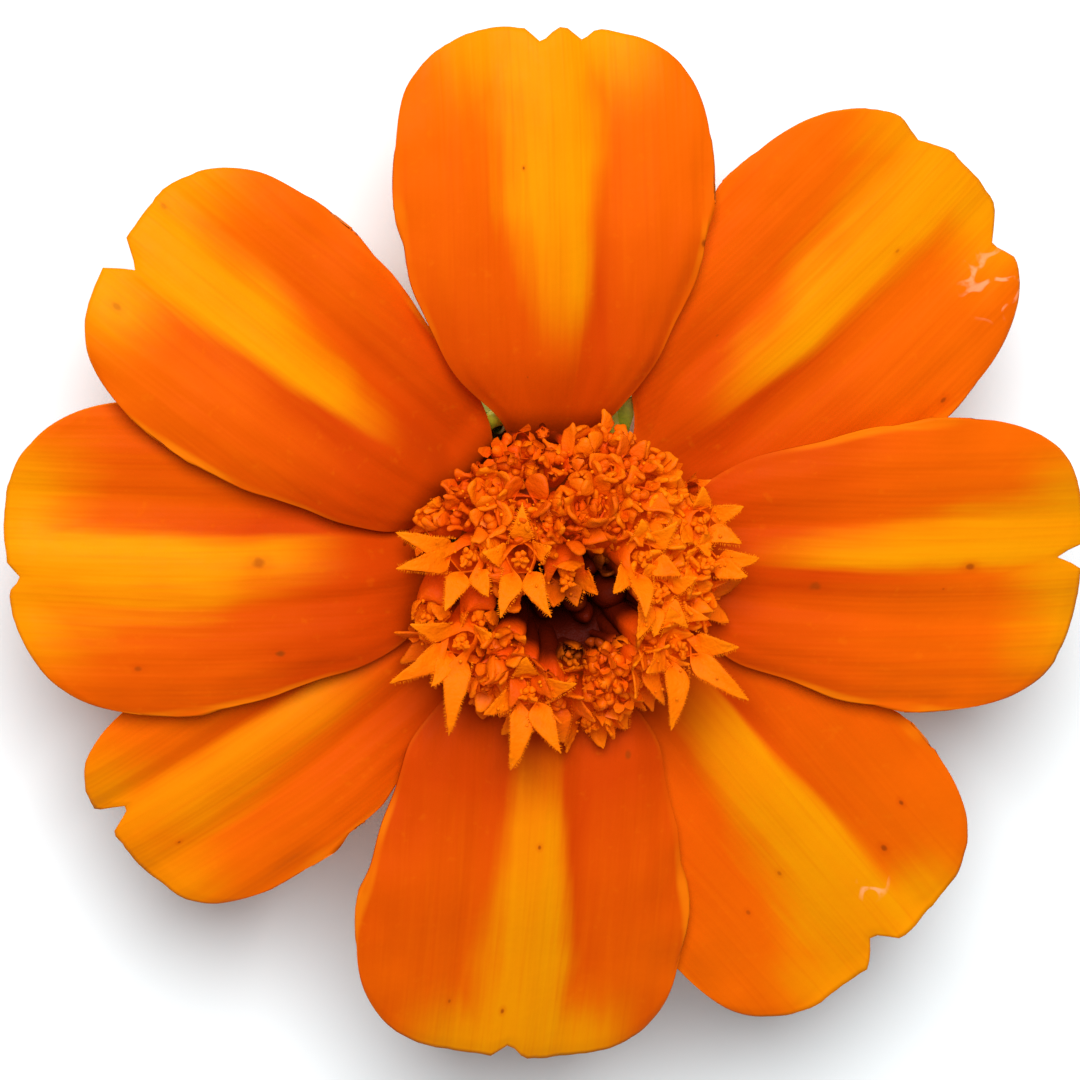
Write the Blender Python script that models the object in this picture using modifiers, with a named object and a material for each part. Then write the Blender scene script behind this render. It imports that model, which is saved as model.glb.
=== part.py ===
"""A single French marigold flower head, nipped off at the top of its stalk and standing on the flat cut.

Run with: blender --background --python part.py
Metres, +Z up along the head's own axis. The origin is the centre of the flat cut under the green cup.
The head is one green cup (stalk stub, receptacle and fused bracts, which grew as one), eight ray petals
whose narrow claws stand inside the cup, and the dense head of small tubular florets that fills it.
"""

import math
import random
from dataclasses import dataclass

import bmesh
import bpy
from mathutils import Matrix, Vector

MM = 0.001

# Green cup: (radius, height) up the outside from the cut, then down the inside to the receptacle.
STALK_RADIUS = 3.0 * MM
CUP_RIM_HEIGHT = 11.9 * MM
CUP_RIM_RADIUS = 5.95 * MM
CUP_WALL = 0.8 * MM
RECEPTACLE_HEIGHT = 5.0 * MM
RECEPTACLE_RADIUS = 4.55 * MM
BRACT_TIP_RISE = 0.75 * MM
BRACT_TIP_FLARE = 0.55 * MM
BRACT_KEEL = 0.18 * MM
STEPS_PER_BRACT = 6

# Ray petals: one blade each, on a claw that stands on the receptacle.
PETAL_THICKNESS = 0.6 * MM
CLAW_HALF_WIDTH = 0.8 * MM
CLAW_LINE = ((3.70 * MM, 5.35 * MM), (4.05 * MM, 9.3 * MM), (4.45 * MM, 12.0 * MM))
BLADE_START = 5.0 * MM
BLADE_LINE = (
    (5.0 * MM, 13.15 * MM),
    (6.0 * MM, 13.95 * MM),
    (7.5 * MM, 14.50 * MM),
    (10.0 * MM, 14.95 * MM),
    (15.0 * MM, 15.10 * MM),
    (20.0 * MM, 14.50 * MM),
    (26.5 * MM, 12.90 * MM),
)
# How wide a blade is, as a share of its half width, at a share of its length from the head's axis.
BLADE_WIDTHS = ((0.19, 0.12), (0.225, 0.15), (0.27, 0.28), (0.32, 0.50), (0.38, 0.67), (0.48, 0.82), (0.60, 0.95), (0.70, 1.0))
HEEL_PLACE, HEEL_REACH = 0.35, 0.09
SHOULDER = 0.70
TIP_BEND_START = 0.35
BLADE_ROWS = 13
BLADE_COLUMNS = 14
# The gold middle of a blade is a low rib between two creases, and each side arches beyond its crease.
CREASE_PLACE = 0.37
RIB_HEIGHT = 0.35 * MM
SIDE_ARCH = 0.28 * MM
# A side lies this far over or under its neighbour, past these distances from the head's axis. A blade with
# one side up and the other down tips over between these angles from its middle.
OVERLAP_LIFT = 0.68 * MM
LIFT_RADII = (4.9 * MM, 7.0 * MM)
TIP_ANGLE = math.radians(9.0)

# Head of florets: the packed tubes are a core that stands on the receptacle.
FLORET_COUNT = 38
BUD_COUNT = 6
GOLDEN_ANGLE = math.pi * (3 - math.sqrt(5))
MOUTH_RING_RADIUS = 6.5 * MM
MOUTH_HEIGHTS = (
    (0.0, 17.6 * MM),
    (1.6 * MM, 18.3 * MM),
    (3.0 * MM, 20.9 * MM),
    (4.4 * MM, 20.8 * MM),
    (5.7 * MM, 19.4 * MM),
    (6.5 * MM, 17.9 * MM),
)
OUTER_LEAN = math.radians(62.0)
FLORET_LENGTH = 5.6 * MM
FLORET_SIDES = 5
MOUTH_RADIUS = 1.15 * MM
TUBE_FOOT_RADIUS = 0.55 * MM
RIM_THICKNESS = 0.55 * MM
THROAT_DEPTH = 1.0 * MM
LOBE_TAPER = 0.4
CORE_PROFILE = (
    (2.95 * MM, 5.3 * MM),
    (3.15 * MM, 9.0 * MM),
    (3.55 * MM, 12.0 * MM),
    (4.05 * MM, 13.3 * MM),
    (4.90 * MM, 14.7 * MM),
    (5.40 * MM, 16.0 * MM),
    (5.20 * MM, 17.3 * MM),
    (4.30 * MM, 18.2 * MM),
    (3.20 * MM, 18.3 * MM),
    (2.00 * MM, 16.4 * MM),
)
CORE_STEPS = 20
SEED = 2
HEAD_LEAN = Vector((0.25 * MM, -0.35 * MM, 0.0))


@dataclass(frozen=True)
class Petal:
    """One ray petal. Angles run anticlockwise from +X seen from above; ccw and cw name its two sides.

    The heel widens a blade where it comes out from under the florets, as a share of its half width. The skew
    makes the ccw half of the tip longer, as a share of the length, and the droop lowers the tip.
    """

    azimuth: float
    length: float
    ccw_width: float
    cw_width: float
    ccw_lift: int
    cw_lift: int
    roundness: float = 2.6
    notches: tuple = ()
    ripple: float = 0.0
    heel: float = 0.0
    skew: float = 0.0
    droop: float = 0.0


# Notches are (place across the tip from -1 to 1, depth, half width as a share of the blade's).
# A lift of 1 lays that side over the neighbour, and -1 under it.
PETALS = (
    Petal(-4.8, 25.9 * MM, 7.0 * MM, 7.3 * MM, 1, 1, 2.8, ((0.05, 1.5 * MM, 0.08),), 0.010, 0.03),
    Petal(40.2, 26.4 * MM, 7.5 * MM, 8.0 * MM, -1, -1, 2.4, ((0.31, 0.5 * MM, 0.14), (-0.45, 0.7 * MM, 0.12)), 0.015, 0.10),
    Petal(90.0, 24.5 * MM, 7.7 * MM, 7.6 * MM, 1, 1, 2.7, ((0.04, 0.5 * MM, 0.09), (-0.20, 0.5 * MM, 0.09)), 0.015, 0.0, 0.014),
    Petal(139.9, 24.7 * MM, 7.0 * MM, 6.2 * MM, 1, -1, 2.5, ((0.21, 1.2 * MM, 0.10),), 0.008, 0.03),
    Petal(178.3, 25.1 * MM, 6.9 * MM, 7.5 * MM, 1, -1, 2.6, ((0.14, 0.6 * MM, 0.09),), 0.010, 0.03),
    Petal(214.6, 24.1 * MM, 6.1 * MM, 5.3 * MM, -1, -1, 3.2, ((-0.22, 1.1 * MM, 0.10),), 0.020, 0.18, -0.015),
    Petal(266.4, 25.2 * MM, 7.8 * MM, 8.2 * MM, 1, 1, 2.8, ((-0.03, 0.7 * MM, 0.10),), 0.015, 0.10),
    Petal(308.7, 27.1 * MM, 8.0 * MM, 8.2 * MM, -1, -1, 2.6, ((-0.03, 1.2 * MM, 0.13),), 0.008, 0.05, 0.0, -1.4 * MM),
)


def clear_scene():
    for obj in list(bpy.data.objects):
        bpy.data.objects.remove(obj)


def new_collection(name):
    collection = bpy.data.collections.new(name)
    bpy.context.scene.collection.children.link(collection)
    return collection


def new_material(name, colour, roughness):
    material = bpy.data.materials.new(name)
    material.use_nodes = True
    shader = material.node_tree.nodes["Principled BSDF"]
    shader.inputs["Base Color"].default_value = (*colour, 1.0)
    shader.inputs["Roughness"].default_value = roughness
    shader.inputs["Metallic"].default_value = 0.0
    return material


def new_object(name, bm, collection, material):
    """The bmesh as an object whose faces are all shaded smooth, apart from sharp edges."""
    mesh = bpy.data.meshes.new(name)
    bm.to_mesh(mesh)
    bm.free()
    mesh.materials.append(material)
    mesh.shade_smooth()
    mesh.set_sharp_from_angle(angle=math.radians(50))
    obj = bpy.data.objects.new(name, mesh)
    collection.objects.link(obj)
    return obj


def smooth_step(low, high, value):
    share = min(1.0, max(0.0, (value - low) / (high - low)))
    return share * share * (3 - 2 * share)


def smooth_through(points, x):
    """The height at x of a smooth curve through the points that never overshoots them."""
    if x <= points[0][0]:
        return points[0][1]
    if x >= points[-1][0]:
        return points[-1][1]
    slopes = [(b[1] - a[1]) / (b[0] - a[0]) for a, b in zip(points, points[1:])]
    tangents = [slopes[0]]
    for before, after in zip(slopes, slopes[1:]):
        tangents.append(0.0 if before * after <= 0 else 2 * before * after / (before + after))
    tangents.append(slopes[-1])
    i = next(k for k in range(len(slopes)) if x <= points[k + 1][0])
    (x0, y0), (x1, y1) = points[i], points[i + 1]
    width = x1 - x0
    t = (x - x0) / width
    return (
        y0 * (1 + 2 * t) * (1 - t) ** 2
        + tangents[i] * width * t * (1 - t) ** 2
        + y1 * t * t * (3 - 2 * t)
        + tangents[i + 1] * width * t * t * (t - 1)
    )


def polar(radius, angle, height):
    return Vector((radius * math.cos(angle), radius * math.sin(angle), height))


# ---- green cup ----


def cup_profile():
    """(radius, height) from the middle of the cut, up the outside, over the rim and down the inside."""
    inner_rim = CUP_RIM_RADIUS - CUP_WALL
    return (
        (0.0, 0.0),
        (STALK_RADIUS - 0.15 * MM, 0.0),
        (STALK_RADIUS, 0.15 * MM),
        (STALK_RADIUS, 1.4 * MM),
        (STALK_RADIUS + 0.7 * MM, 2.5 * MM),
        (CUP_RIM_RADIUS - 0.75 * MM, 4.3 * MM),
        (CUP_RIM_RADIUS - 0.25 * MM, 6.6 * MM),
        (CUP_RIM_RADIUS - 0.1 * MM, 9.2 * MM),
        (CUP_RIM_RADIUS, CUP_RIM_HEIGHT),
        (inner_rim, CUP_RIM_HEIGHT),
        (inner_rim - 0.1 * MM, 9.2 * MM),
        (RECEPTACLE_RADIUS + 0.2 * MM, 6.6 * MM),
        (RECEPTACLE_RADIUS, RECEPTACLE_HEIGHT),
        (0.0, RECEPTACLE_HEIGHT),
    )


def bract_angle(step):
    """The angle of a turning step. Steps bunch so that a bract's tip falls midway between two petals."""
    sector, within = divmod(step, STEPS_PER_BRACT)
    here = PETALS[sector % len(PETALS)].azimuth
    following = PETALS[(sector + 1) % len(PETALS)].azimuth
    gap = (following - here) % 360.0
    return math.radians(here + gap * within / STEPS_PER_BRACT)


def make_cup(collection, material):
    """A turned cup, keeled along each fused bract, whose rim rises to a pointed tip between petals."""
    steps = STEPS_PER_BRACT * len(PETALS)
    bm = bmesh.new()
    points = [bm.verts.new((radius, 0.0, height)) for radius, height in cup_profile()]
    edges = [bm.edges.new(pair) for pair in zip(points, points[1:])]
    bmesh.ops.spin(
        bm, geom=points + edges, cent=(0, 0, 0), axis=(0, 0, 1), angle=math.tau, steps=steps, use_merge=True
    )
    bmesh.ops.remove_doubles(bm, verts=bm.verts, dist=0.01 * MM)
    for vert in bm.verts:
        radius = math.hypot(vert.co.x, vert.co.y)
        if radius < 0.01 * MM:
            continue
        step = round((math.atan2(vert.co.y, vert.co.x) % math.tau) / math.tau * steps) % steps
        tip = 1 - abs((step % STEPS_PER_BRACT) / (STEPS_PER_BRACT / 2) - 1)
        outside = radius > CUP_RIM_RADIUS - 1.2 * MM or vert.co.z < RECEPTACLE_HEIGHT - 0.1 * MM
        keel = BRACT_KEEL * (tip - 0.5) * smooth_step(1.4 * MM, 5.0 * MM, vert.co.z) if outside else 0.0
        toward_rim = smooth_step(CUP_RIM_HEIGHT - 2.9 * MM, CUP_RIM_HEIGHT, vert.co.z)
        flare = BRACT_TIP_FLARE * tip * toward_rim
        rise = BRACT_TIP_RISE * tip * toward_rim
        vert.co = polar(radius + keel + flare, bract_angle(step), vert.co.z + rise)
    bmesh.ops.recalc_face_normals(bm, faces=bm.faces)
    return new_object("cup_and_stalk", bm, collection, material)


# ---- ray petals ----


def columns_across(petal):
    """Places across the blade from -1 to 1, closer at the margins and at each notch."""
    count = BLADE_COLUMNS
    places = []
    for k in range(count + 1):
        even = 2 * k / count - 1
        places.append(0.45 * even + 0.55 * math.sin(math.pi / 2 * even))
    for place, _, half_width in petal.notches:
        nearest = min(range(1, count), key=lambda k: abs(places[k] - place))
        places[nearest - 1] = max(place - half_width, places[nearest - 2] + 0.04) if nearest > 1 else places[0]
        places[nearest] = place
        places[nearest + 1] = min(place + half_width, places[nearest + 2] - 0.04) if nearest < count - 1 else 1.0
    return places


def crease_relief(across):
    """Height of the rib and of the arched sides above the two creases."""
    place = abs(across)
    if place < CREASE_PLACE:
        return RIB_HEIGHT * (1 + math.cos(math.pi * place / CREASE_PLACE)) / 2
    return SIDE_ARCH * math.sin(math.pi * (place - CREASE_PLACE) / (1 - CREASE_PLACE))


def blade_point(petal, across, along):
    """A point of the blade's middle surface; along runs from the claw's top to 1 at the tip."""
    bend = max(0.0, (along - TIP_BEND_START) / (1 - TIP_BEND_START)) ** 1.6
    round_off = (1 - abs(across) ** petal.roundness) ** (1 / petal.roundness)
    cut = sum(
        depth / petal.length * max(0.0, 1 - abs(across - place) / half_width)
        for place, depth, half_width in petal.notches
    )
    near_tip = max(0.0, (along - 0.8) / 0.2)
    share = along - (1 - SHOULDER) * (1 - round_off) * bend + (petal.skew * across - cut) * near_tip
    margin_share = along - (1 - SHOULDER) * bend
    half_width = petal.ccw_width if across > 0 else petal.cw_width
    wave = 1 + petal.ripple * math.sin(21 * along + petal.azimuth) * abs(across) ** 3
    heel = petal.heel * math.exp(-(((margin_share - HEEL_PLACE) / HEEL_REACH) ** 2))
    sideways = across * half_width * (smooth_through(BLADE_WIDTHS, margin_share) + heel) * wave
    radius = share * petal.length
    turned = smooth_step(-TIP_ANGLE, TIP_ANGLE, math.atan2(sideways, radius))
    side = petal.cw_lift + (petal.ccw_lift - petal.cw_lift) * turned
    lift = side * OVERLAP_LIFT * smooth_step(*LIFT_RADII, radius)
    relief = crease_relief(across) * smooth_step(0.22, 0.40, along)
    sag = petal.droop * max(0.0, (share - 0.4) / 0.6) ** 2
    height = smooth_through(BLADE_LINE, radius) + lift + relief - sag
    return Vector((radius, sideways, height))


def make_petal(name, petal, collection, material):
    """A grid bent to the claw and the blade, then thickened."""
    claw_rows = len(CLAW_LINE)
    rows = claw_rows + BLADE_ROWS
    places = columns_across(petal)
    first = BLADE_START / petal.length
    bm = bmesh.new()
    bmesh.ops.create_grid(bm, x_segments=rows - 1, y_segments=BLADE_COLUMNS, size=1)
    for vert in bm.verts:
        row = round((vert.co.x + 1) / 2 * (rows - 1))
        across = places[round((vert.co.y + 1) / 2 * BLADE_COLUMNS)]
        if row < claw_rows:
            radius, height = CLAW_LINE[row]
            vert.co = (radius, across * CLAW_HALF_WIDTH, height)
        else:
            share = (row - claw_rows) / (BLADE_ROWS - 1)
            vert.co = blade_point(petal, across, first + (1 - first) * share ** 0.9)
    bmesh.ops.triangulate(bm, faces=bm.faces)
    obj = new_object(name, bm, collection, material)
    obj.rotation_euler.z = math.radians(petal.azimuth)
    thicken = obj.modifiers.new("thickness", "SOLIDIFY")
    thicken.thickness = PETAL_THICKNESS
    thicken.offset = 0.0
    return obj


# ---- head of florets ----


def floret_places():
    """(mouth, direction, openness, turn) of each floret in a sunflower spiral, the middle ones unopened."""
    draw = random.Random(SEED)
    total = FLORET_COUNT + BUD_COUNT
    for n in range(total):
        share = math.sqrt((n + 0.5) / total)
        angle = n * GOLDEN_ANGLE + draw.uniform(-0.12, 0.12)
        radius = MOUTH_RING_RADIUS * share
        height = smooth_through(MOUTH_HEIGHTS, radius) + draw.uniform(-0.35, 0.35) * MM
        lean = OUTER_LEAN * share ** 1.3 + draw.uniform(-0.08, 0.08)
        outward = Vector((math.cos(angle), math.sin(angle), 0.0))
        direction = outward * math.sin(lean) + Vector((0, 0, math.cos(lean)))
        openness = 0.0 if n < BUD_COUNT else smooth_step(0.3, 1.0, share) * draw.uniform(0.5, 1.0)
        yield polar(radius, angle, height) + HEAD_LEAN, direction, openness, draw.uniform(0, math.tau / FLORET_SIDES)


def new_bud():
    """A closed floret: a tube that narrows to a blunt point, its top at the origin."""
    bm = bmesh.new()
    bmesh.ops.create_cone(
        bm, cap_ends=True, segments=FLORET_SIDES, radius1=TUBE_FOOT_RADIUS, radius2=0.85 * MM, depth=3.0 * MM
    )
    bmesh.ops.translate(bm, vec=(0, 0, -2.1 * MM), verts=bm.verts)
    top = max(bm.faces, key=lambda face: face.calc_center_median().z)
    tip = bmesh.ops.extrude_discrete_faces(bm, faces=[top])["faces"][0]
    bmesh.ops.scale(bm, vec=(0.3, 0.3, 1), verts=tip.verts)
    bmesh.ops.translate(bm, vec=(0, 0, 0.6 * MM), verts=tip.verts)
    return bm


def new_open_floret(openness):
    """A five-sided tube with a sunk throat, whose rim grows into five pointed lobes; its mouth is at the origin."""
    bm = bmesh.new()
    bmesh.ops.create_cone(
        bm,
        cap_ends=True,
        segments=FLORET_SIDES,
        radius1=TUBE_FOOT_RADIUS,
        radius2=MOUTH_RADIUS,
        depth=FLORET_LENGTH,
    )
    bmesh.ops.translate(bm, vec=(0, 0, -FLORET_LENGTH / 2), verts=bm.verts)
    throat = max(bm.faces, key=lambda face: face.calc_center_median().z)
    rim = bmesh.ops.inset_region(bm, faces=[throat], thickness=RIM_THICKNESS)["faces"]
    sunk = bmesh.ops.extrude_face_region(bm, geom=[throat])["geom"]
    bmesh.ops.translate(
        bm, vec=(0, 0, -THROAT_DEPTH), verts=[item for item in sunk if isinstance(item, bmesh.types.BMVert)]
    )
    bmesh.ops.delete(bm, geom=[throat], context="FACES_ONLY")
    spread = math.radians(25 + 60 * openness)
    length = (0.8 + 1.2 * openness) * MM
    for lobe in bmesh.ops.extrude_discrete_faces(bm, faces=rim)["faces"]:
        middle = lobe.calc_center_median()
        outward = Vector((middle.x, middle.y, 0)).normalized()
        step = (outward * math.sin(spread) + Vector((0, 0, math.cos(spread)))) * length
        squeeze = Matrix.Scale(LOBE_TAPER, 4, outward.cross(Vector((0, 0, 1))))
        bmesh.ops.transform(bm, matrix=squeeze, space=Matrix.Translation(-middle), verts=lobe.verts)
        bmesh.ops.translate(bm, vec=step, verts=lobe.verts)
    return bm


def make_core(name, collection, material):
    """The packed tubes below the mouths: a turned body with a dip at the top, where the buds stand."""
    bm = bmesh.new()
    bottom, top = CORE_PROFILE[0], CORE_PROFILE[-1]
    profile = ((0.0, bottom[1]), *CORE_PROFILE, (0.0, top[1]))
    points = [bm.verts.new((radius, 0.0, height)) for radius, height in profile]
    edges = [bm.edges.new(pair) for pair in zip(points, points[1:])]
    bmesh.ops.spin(
        bm, geom=points + edges, cent=(0, 0, 0), axis=(0, 0, 1), angle=math.tau, steps=CORE_STEPS, use_merge=True
    )
    bmesh.ops.remove_doubles(bm, verts=bm.verts, dist=0.01 * MM)
    bmesh.ops.recalc_face_normals(bm, faces=bm.faces)
    return new_object(name, bm, collection, material)


def fill_sealed_pockets(mesh):
    """Keep only the outer skin: the gaps shut in between packed tubes are left solid."""
    bm = bmesh.new()
    bm.from_mesh(mesh)
    unseen, skins = set(bm.faces), []
    while unseen:
        waiting, skin = [unseen.pop()], []
        while waiting:
            face = waiting.pop()
            skin.append(face)
            near = {other for edge in face.edges for other in edge.link_faces} & unseen
            unseen -= near
            waiting.extend(near)
        skins.append(skin)
    outer = max(skins, key=len)
    for skin in skins:
        if skin is not outer:
            bmesh.ops.delete(bm, geom=skin, context="FACES")
    bm.to_mesh(mesh)
    bm.free()
    return len(skins) - 1


def make_floret_head(collection, material):
    """Every floret, its foot sunk in the core, joined to it in one body."""
    core = make_core("disc_florets", collection, material)
    florets = new_collection("florets to join")
    for n, (mouth, direction, openness, turn) in enumerate(floret_places()):
        bm = new_bud() if openness == 0.0 else new_open_floret(openness)
        place = Matrix.Translation(mouth) @ direction.to_track_quat("Z", "Y").to_matrix().to_4x4()
        bmesh.ops.transform(bm, matrix=place @ Matrix.Rotation(turn, 4, "Z"), verts=bm.verts)
        new_object(f"floret_{n}", bm, florets, material)
    union = core.modifiers.new("join florets", "BOOLEAN")
    union.operation = "UNION"
    union.operand_type = "COLLECTION"
    union.collection = florets
    union.solver = "MANIFOLD"
    bpy.context.view_layer.update()
    graph = bpy.context.evaluated_depsgraph_get()
    joined = bpy.data.meshes.new_from_object(core.evaluated_get(graph))
    core.modifiers.clear()
    fill_sealed_pockets(joined)
    core.data = joined
    for floret in list(florets.objects):
        bpy.data.objects.remove(floret)
    bpy.data.collections.remove(florets)
    return core


def main():
    clear_scene()
    flower = new_collection("marigold flower head")
    green = new_material("fresh green", (0.16, 0.30, 0.04), 0.5)
    orange = new_material("petal orange", (0.93, 0.19, 0.005), 0.5)
    deep_orange = new_material("floret orange", (0.80, 0.15, 0.005), 0.6)
    make_cup(flower, green)
    for n, petal in enumerate(PETALS, start=1):
        make_petal(f"petal_{n}", petal, flower, orange)
    make_floret_head(flower, deep_orange)


main()
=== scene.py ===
"""A single marigold head: eight gold-banded petals, a dome of tubular florets and a green cup.

The frame's solids give every piece its place and reach. The pieces here keep those forms
and add the folds, veins, lobes, hairs and finishes.
"""

import math
import random
from typing import NamedTuple

import bmesh
import bpy
from mathutils import Matrix, Vector, noise


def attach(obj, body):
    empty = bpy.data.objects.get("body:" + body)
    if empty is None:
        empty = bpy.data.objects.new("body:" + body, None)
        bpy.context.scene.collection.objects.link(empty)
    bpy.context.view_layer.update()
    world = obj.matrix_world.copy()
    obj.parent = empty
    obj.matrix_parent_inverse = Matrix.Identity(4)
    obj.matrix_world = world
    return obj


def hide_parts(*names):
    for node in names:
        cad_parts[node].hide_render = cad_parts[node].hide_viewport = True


bl_info = {
    "name": "Marigold Flower Head",
    "version": (1, 0, 0),
    "blender": (4, 5, 0),
    "location": "View3D > Sidebar > Marigold",
    "description": "Dresses a marigold head with petals, florets, hairs and a ribbed green cup",
    "category": "Object",
}

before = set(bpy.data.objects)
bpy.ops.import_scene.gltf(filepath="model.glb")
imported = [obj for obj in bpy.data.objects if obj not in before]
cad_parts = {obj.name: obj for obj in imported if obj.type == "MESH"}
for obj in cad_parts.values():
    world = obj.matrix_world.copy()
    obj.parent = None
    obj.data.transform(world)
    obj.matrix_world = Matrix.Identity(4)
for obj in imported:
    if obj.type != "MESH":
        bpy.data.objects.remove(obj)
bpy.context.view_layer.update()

MM = 0.001
UP = Vector((0, 0, 1))
GOLDEN_ANGLE = math.pi * (3 - math.sqrt(5))
BODY = "root"
SEED = 7
# Without a seed of its own, noise_vector gives other values in each run.
noise.seed_set(SEED)


# ---------------------------------------------------------------- numbers that shape the head


class Band(NamedTuple):
    """The gold stripe of a petal, as the places of its two borders left and right of the
    petal's middle line, near the base and near the tip, with how soft each border is."""

    ccw_base: float
    ccw_tip: float
    ccw_soft: float
    cw_base: float
    cw_tip: float
    cw_soft: float
    strength: float = 1.0


class Petal(NamedTuple):
    """One ray petal, in millimetres and degrees. Widths are half widths on its two sides. A
    lift of 1 says that this side lies over its neighbour, and of -1 under it. Notches are
    (place across, depth, half width), specks are (radius, place across, size, darkness), and a
    wrinkled patch is (radius, place across, reach, height). Waists draw in the two sides near
    the head, a heel widens them, skew slants the tip, and redness deepens the flanks."""

    node: str
    azimuth: float
    length: float
    ccw_width: float
    cw_width: float
    ccw_lift: int
    cw_lift: int
    roundness: float
    notches: tuple
    ripple: float
    heel: float
    skew: float
    band: Band
    specks: tuple
    droop: float = 0.0
    waists: tuple = (0.0, 0.0)
    wrinkle: tuple = ()
    redness: float = 0.0


PETALS = (
    Petal("petal_1", -4.8, 25.3, 6.95, 7.0, 1, 1, roundness=2.9, notches=((0.05, 1.4, 0.08),), ripple=0.01,
          heel=0.05, skew=-0.004, band=Band(0.9, 3.4, 1.3, -0.2, 0.1, 0.6),
          specks=((19.6, 0.0, 0.3, 0.75), (12.3, -1.0, 0.42, 0.6), (18.4, -1.0, 0.1, 0.5))),
    Petal("petal_2", 40.2, 26.25, 7.6, 8.3, -1, -1, roundness=2.4,
          notches=((0.31, 0.7, 0.2), (-0.47, 1.1, 0.15)), ripple=0.015, heel=0.12, skew=-0.012,
          band=Band(0.3, 2.8, 1.9, -0.8, -1.4, 0.9), waists=(0.3, 0.0), wrinkle=(23.6, -5.2, 1.9, 0.12),
          specks=((21.2, -0.6, 0.16, 0.4), (18.3, -7.5, 0.22, 0.8), (12.4, 2.3, 0.12, 0.4))),
    Petal("petal_3", 90.0, 25.15, 7.45, 7.85, 1, 1, roundness=3.0,
          notches=((0.03, 0.7, 0.1), (-0.22, 0.6, 0.1)), ripple=0.015, heel=0.0, skew=0.01,
          band=Band(0.6, 2.8, 2.0, -1.4, -2.4, 1.1), waists=(0.13, 0.03),
          specks=((18.8, 1.3, 0.1, 0.9), (14.9, -7.25, 0.26, 0.9), (8.8, 1.1, 0.08, 0.7))),
    Petal("petal_4", 139.9, 24.9, 6.95, 6.1, 1, -1, roundness=2.9, notches=((0.21, 1.3, 0.13),),
          ripple=0.008, heel=0.03, skew=0.008, band=Band(0.7, 1.9, 0.6, -0.3, -2.3, 1.4),
          waists=(-0.1, -0.1), redness=0.2,
          specks=((23.4, 3.3, 0.3, 0.35), (24.3, -1.5, 0.24, 0.3))),
    Petal("petal_5", 178.3, 25.1, 7.4, 7.3, 1, -1, roundness=2.7, notches=((0.14, 0.6, 0.09),),
          ripple=0.01, heel=0.05, skew=-0.012, band=Band(0.8, 2.9, 2.2, -0.7, -1.2, 0.7),
          waists=(-0.1, -0.12), redness=0.32,
          specks=((13.7, 0.2, 0.42, 0.55), (12.7, 4.3, 0.32, 0.95), (19.2, 5.0, 0.28, 0.6))),
    Petal("petal_6", 214.6, 24.7, 6.05, 5.6, -1, -1, roundness=3.3, notches=((-0.24, 1.5, 0.12),),
          ripple=0.02, heel=0.1, skew=-0.012, band=Band(0.4, 1.5, 1.6, -1.3, -1.9, 0.7, 0.7),
          waists=(-0.12, -0.12),
          specks=((22.4, 1.4, 0.14, 0.8),)),
    Petal("petal_7", 266.4, 25.1, 7.7, 8.2, 1, 1, roundness=2.8, notches=((-0.03, 0.8, 0.1),),
          ripple=0.015, heel=0.1, skew=0.018, band=Band(1.0, 2.3, 0.8, -0.9, -2.3, 1.3), redness=0.38,
          specks=((14.0, 0.2, 0.15, 0.8), (22.5, -0.8, 0.18, 0.8), (22.0, -3.4, 0.16, 0.6),
                  (9.6, 4.2, 0.3, 0.7))),
    Petal("petal_8", 308.7, 27.2, 7.8, 8.3, -1, -1, roundness=3.1, notches=((-0.03, 1.3, 0.13),),
          ripple=0.008, heel=0.05, skew=-0.01, band=Band(1.7, 2.1, 0.6, -0.2, -2.8, 1.6), droop=-1.4,
          wrinkle=(23.9, 1.4, 1.0, 0.06), redness=-0.12,
          specks=((22.8, 3.0, 0.26, 0.8), (21.4, 5.0, 0.2, 0.9), (20.2, -1.6, 0.2, 0.5),
                  (9.9, -3.5, 0.34, 0.8), (20.7, -4.0, 0.18, 0.5))),
)

# A petal's middle line as (radius, height), first the claw in the cup and then the blade, and its
# half widths as shares of the full one at shares of its length.
CLAW_LINE = ((3.70, 5.35), (3.86, 7.3), (4.05, 9.3), (4.45, 12.0))
CLAW_HALF_WIDTH = 0.8
BLADE_START = 5.0
BLADE_LINE = ((5.0, 13.15), (6.0, 13.95), (7.5, 14.50), (10.0, 14.95), (15.0, 15.10),
              (20.0, 14.50), (26.5, 12.90))
BLADE_WIDTHS = ((0.19, 0.28), (0.225, 0.36), (0.27, 0.45), (0.32, 0.56), (0.38, 0.68),
                (0.48, 0.82), (0.60, 0.95), (0.70, 1.0))
HEEL_PLACE, HEEL_REACH = 0.35, 0.09
WAIST_PLACE, WAIST_REACH = 0.25, 0.085
SHOULDER, TIP_BEND_START = 0.70, 0.35
CREASE_PLACE, RIB_HEIGHT, SIDE_ARCH = 0.37, 0.35, 0.28
OVERLAP_LIFT, LIFT_RADII, TIP_ANGLE = 0.68, (4.9, 7.0), math.radians(9)
PETAL_ROWS, PETAL_COLUMNS = 84, 72
BAND_START, BAND_RUN, CRISP = 10.0, 13.2, 0.8
FLAT_UNIT = 30.0

# The head of florets: where no floret stands, and the heights of their mouths by radius.
OPEN_GAPS = (57.0, 120.0)
HEAD_AXIS = Vector((0.25, -0.35, 0.0))
MOUTH_HEIGHTS = ((0, 17.3), (1.6, 18.3), (3.0, 20.6), (4.4, 20.5), (5.7, 19.2), (6.9, 17.4))
OUTER_LEAN = math.radians(62)
HOLLOW, HOLLOW_HALF_LENGTH, HOLLOW_HALF_WIDTH = Vector((0.0, -1.3, 0.0)), 3.3, 2.2

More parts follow.
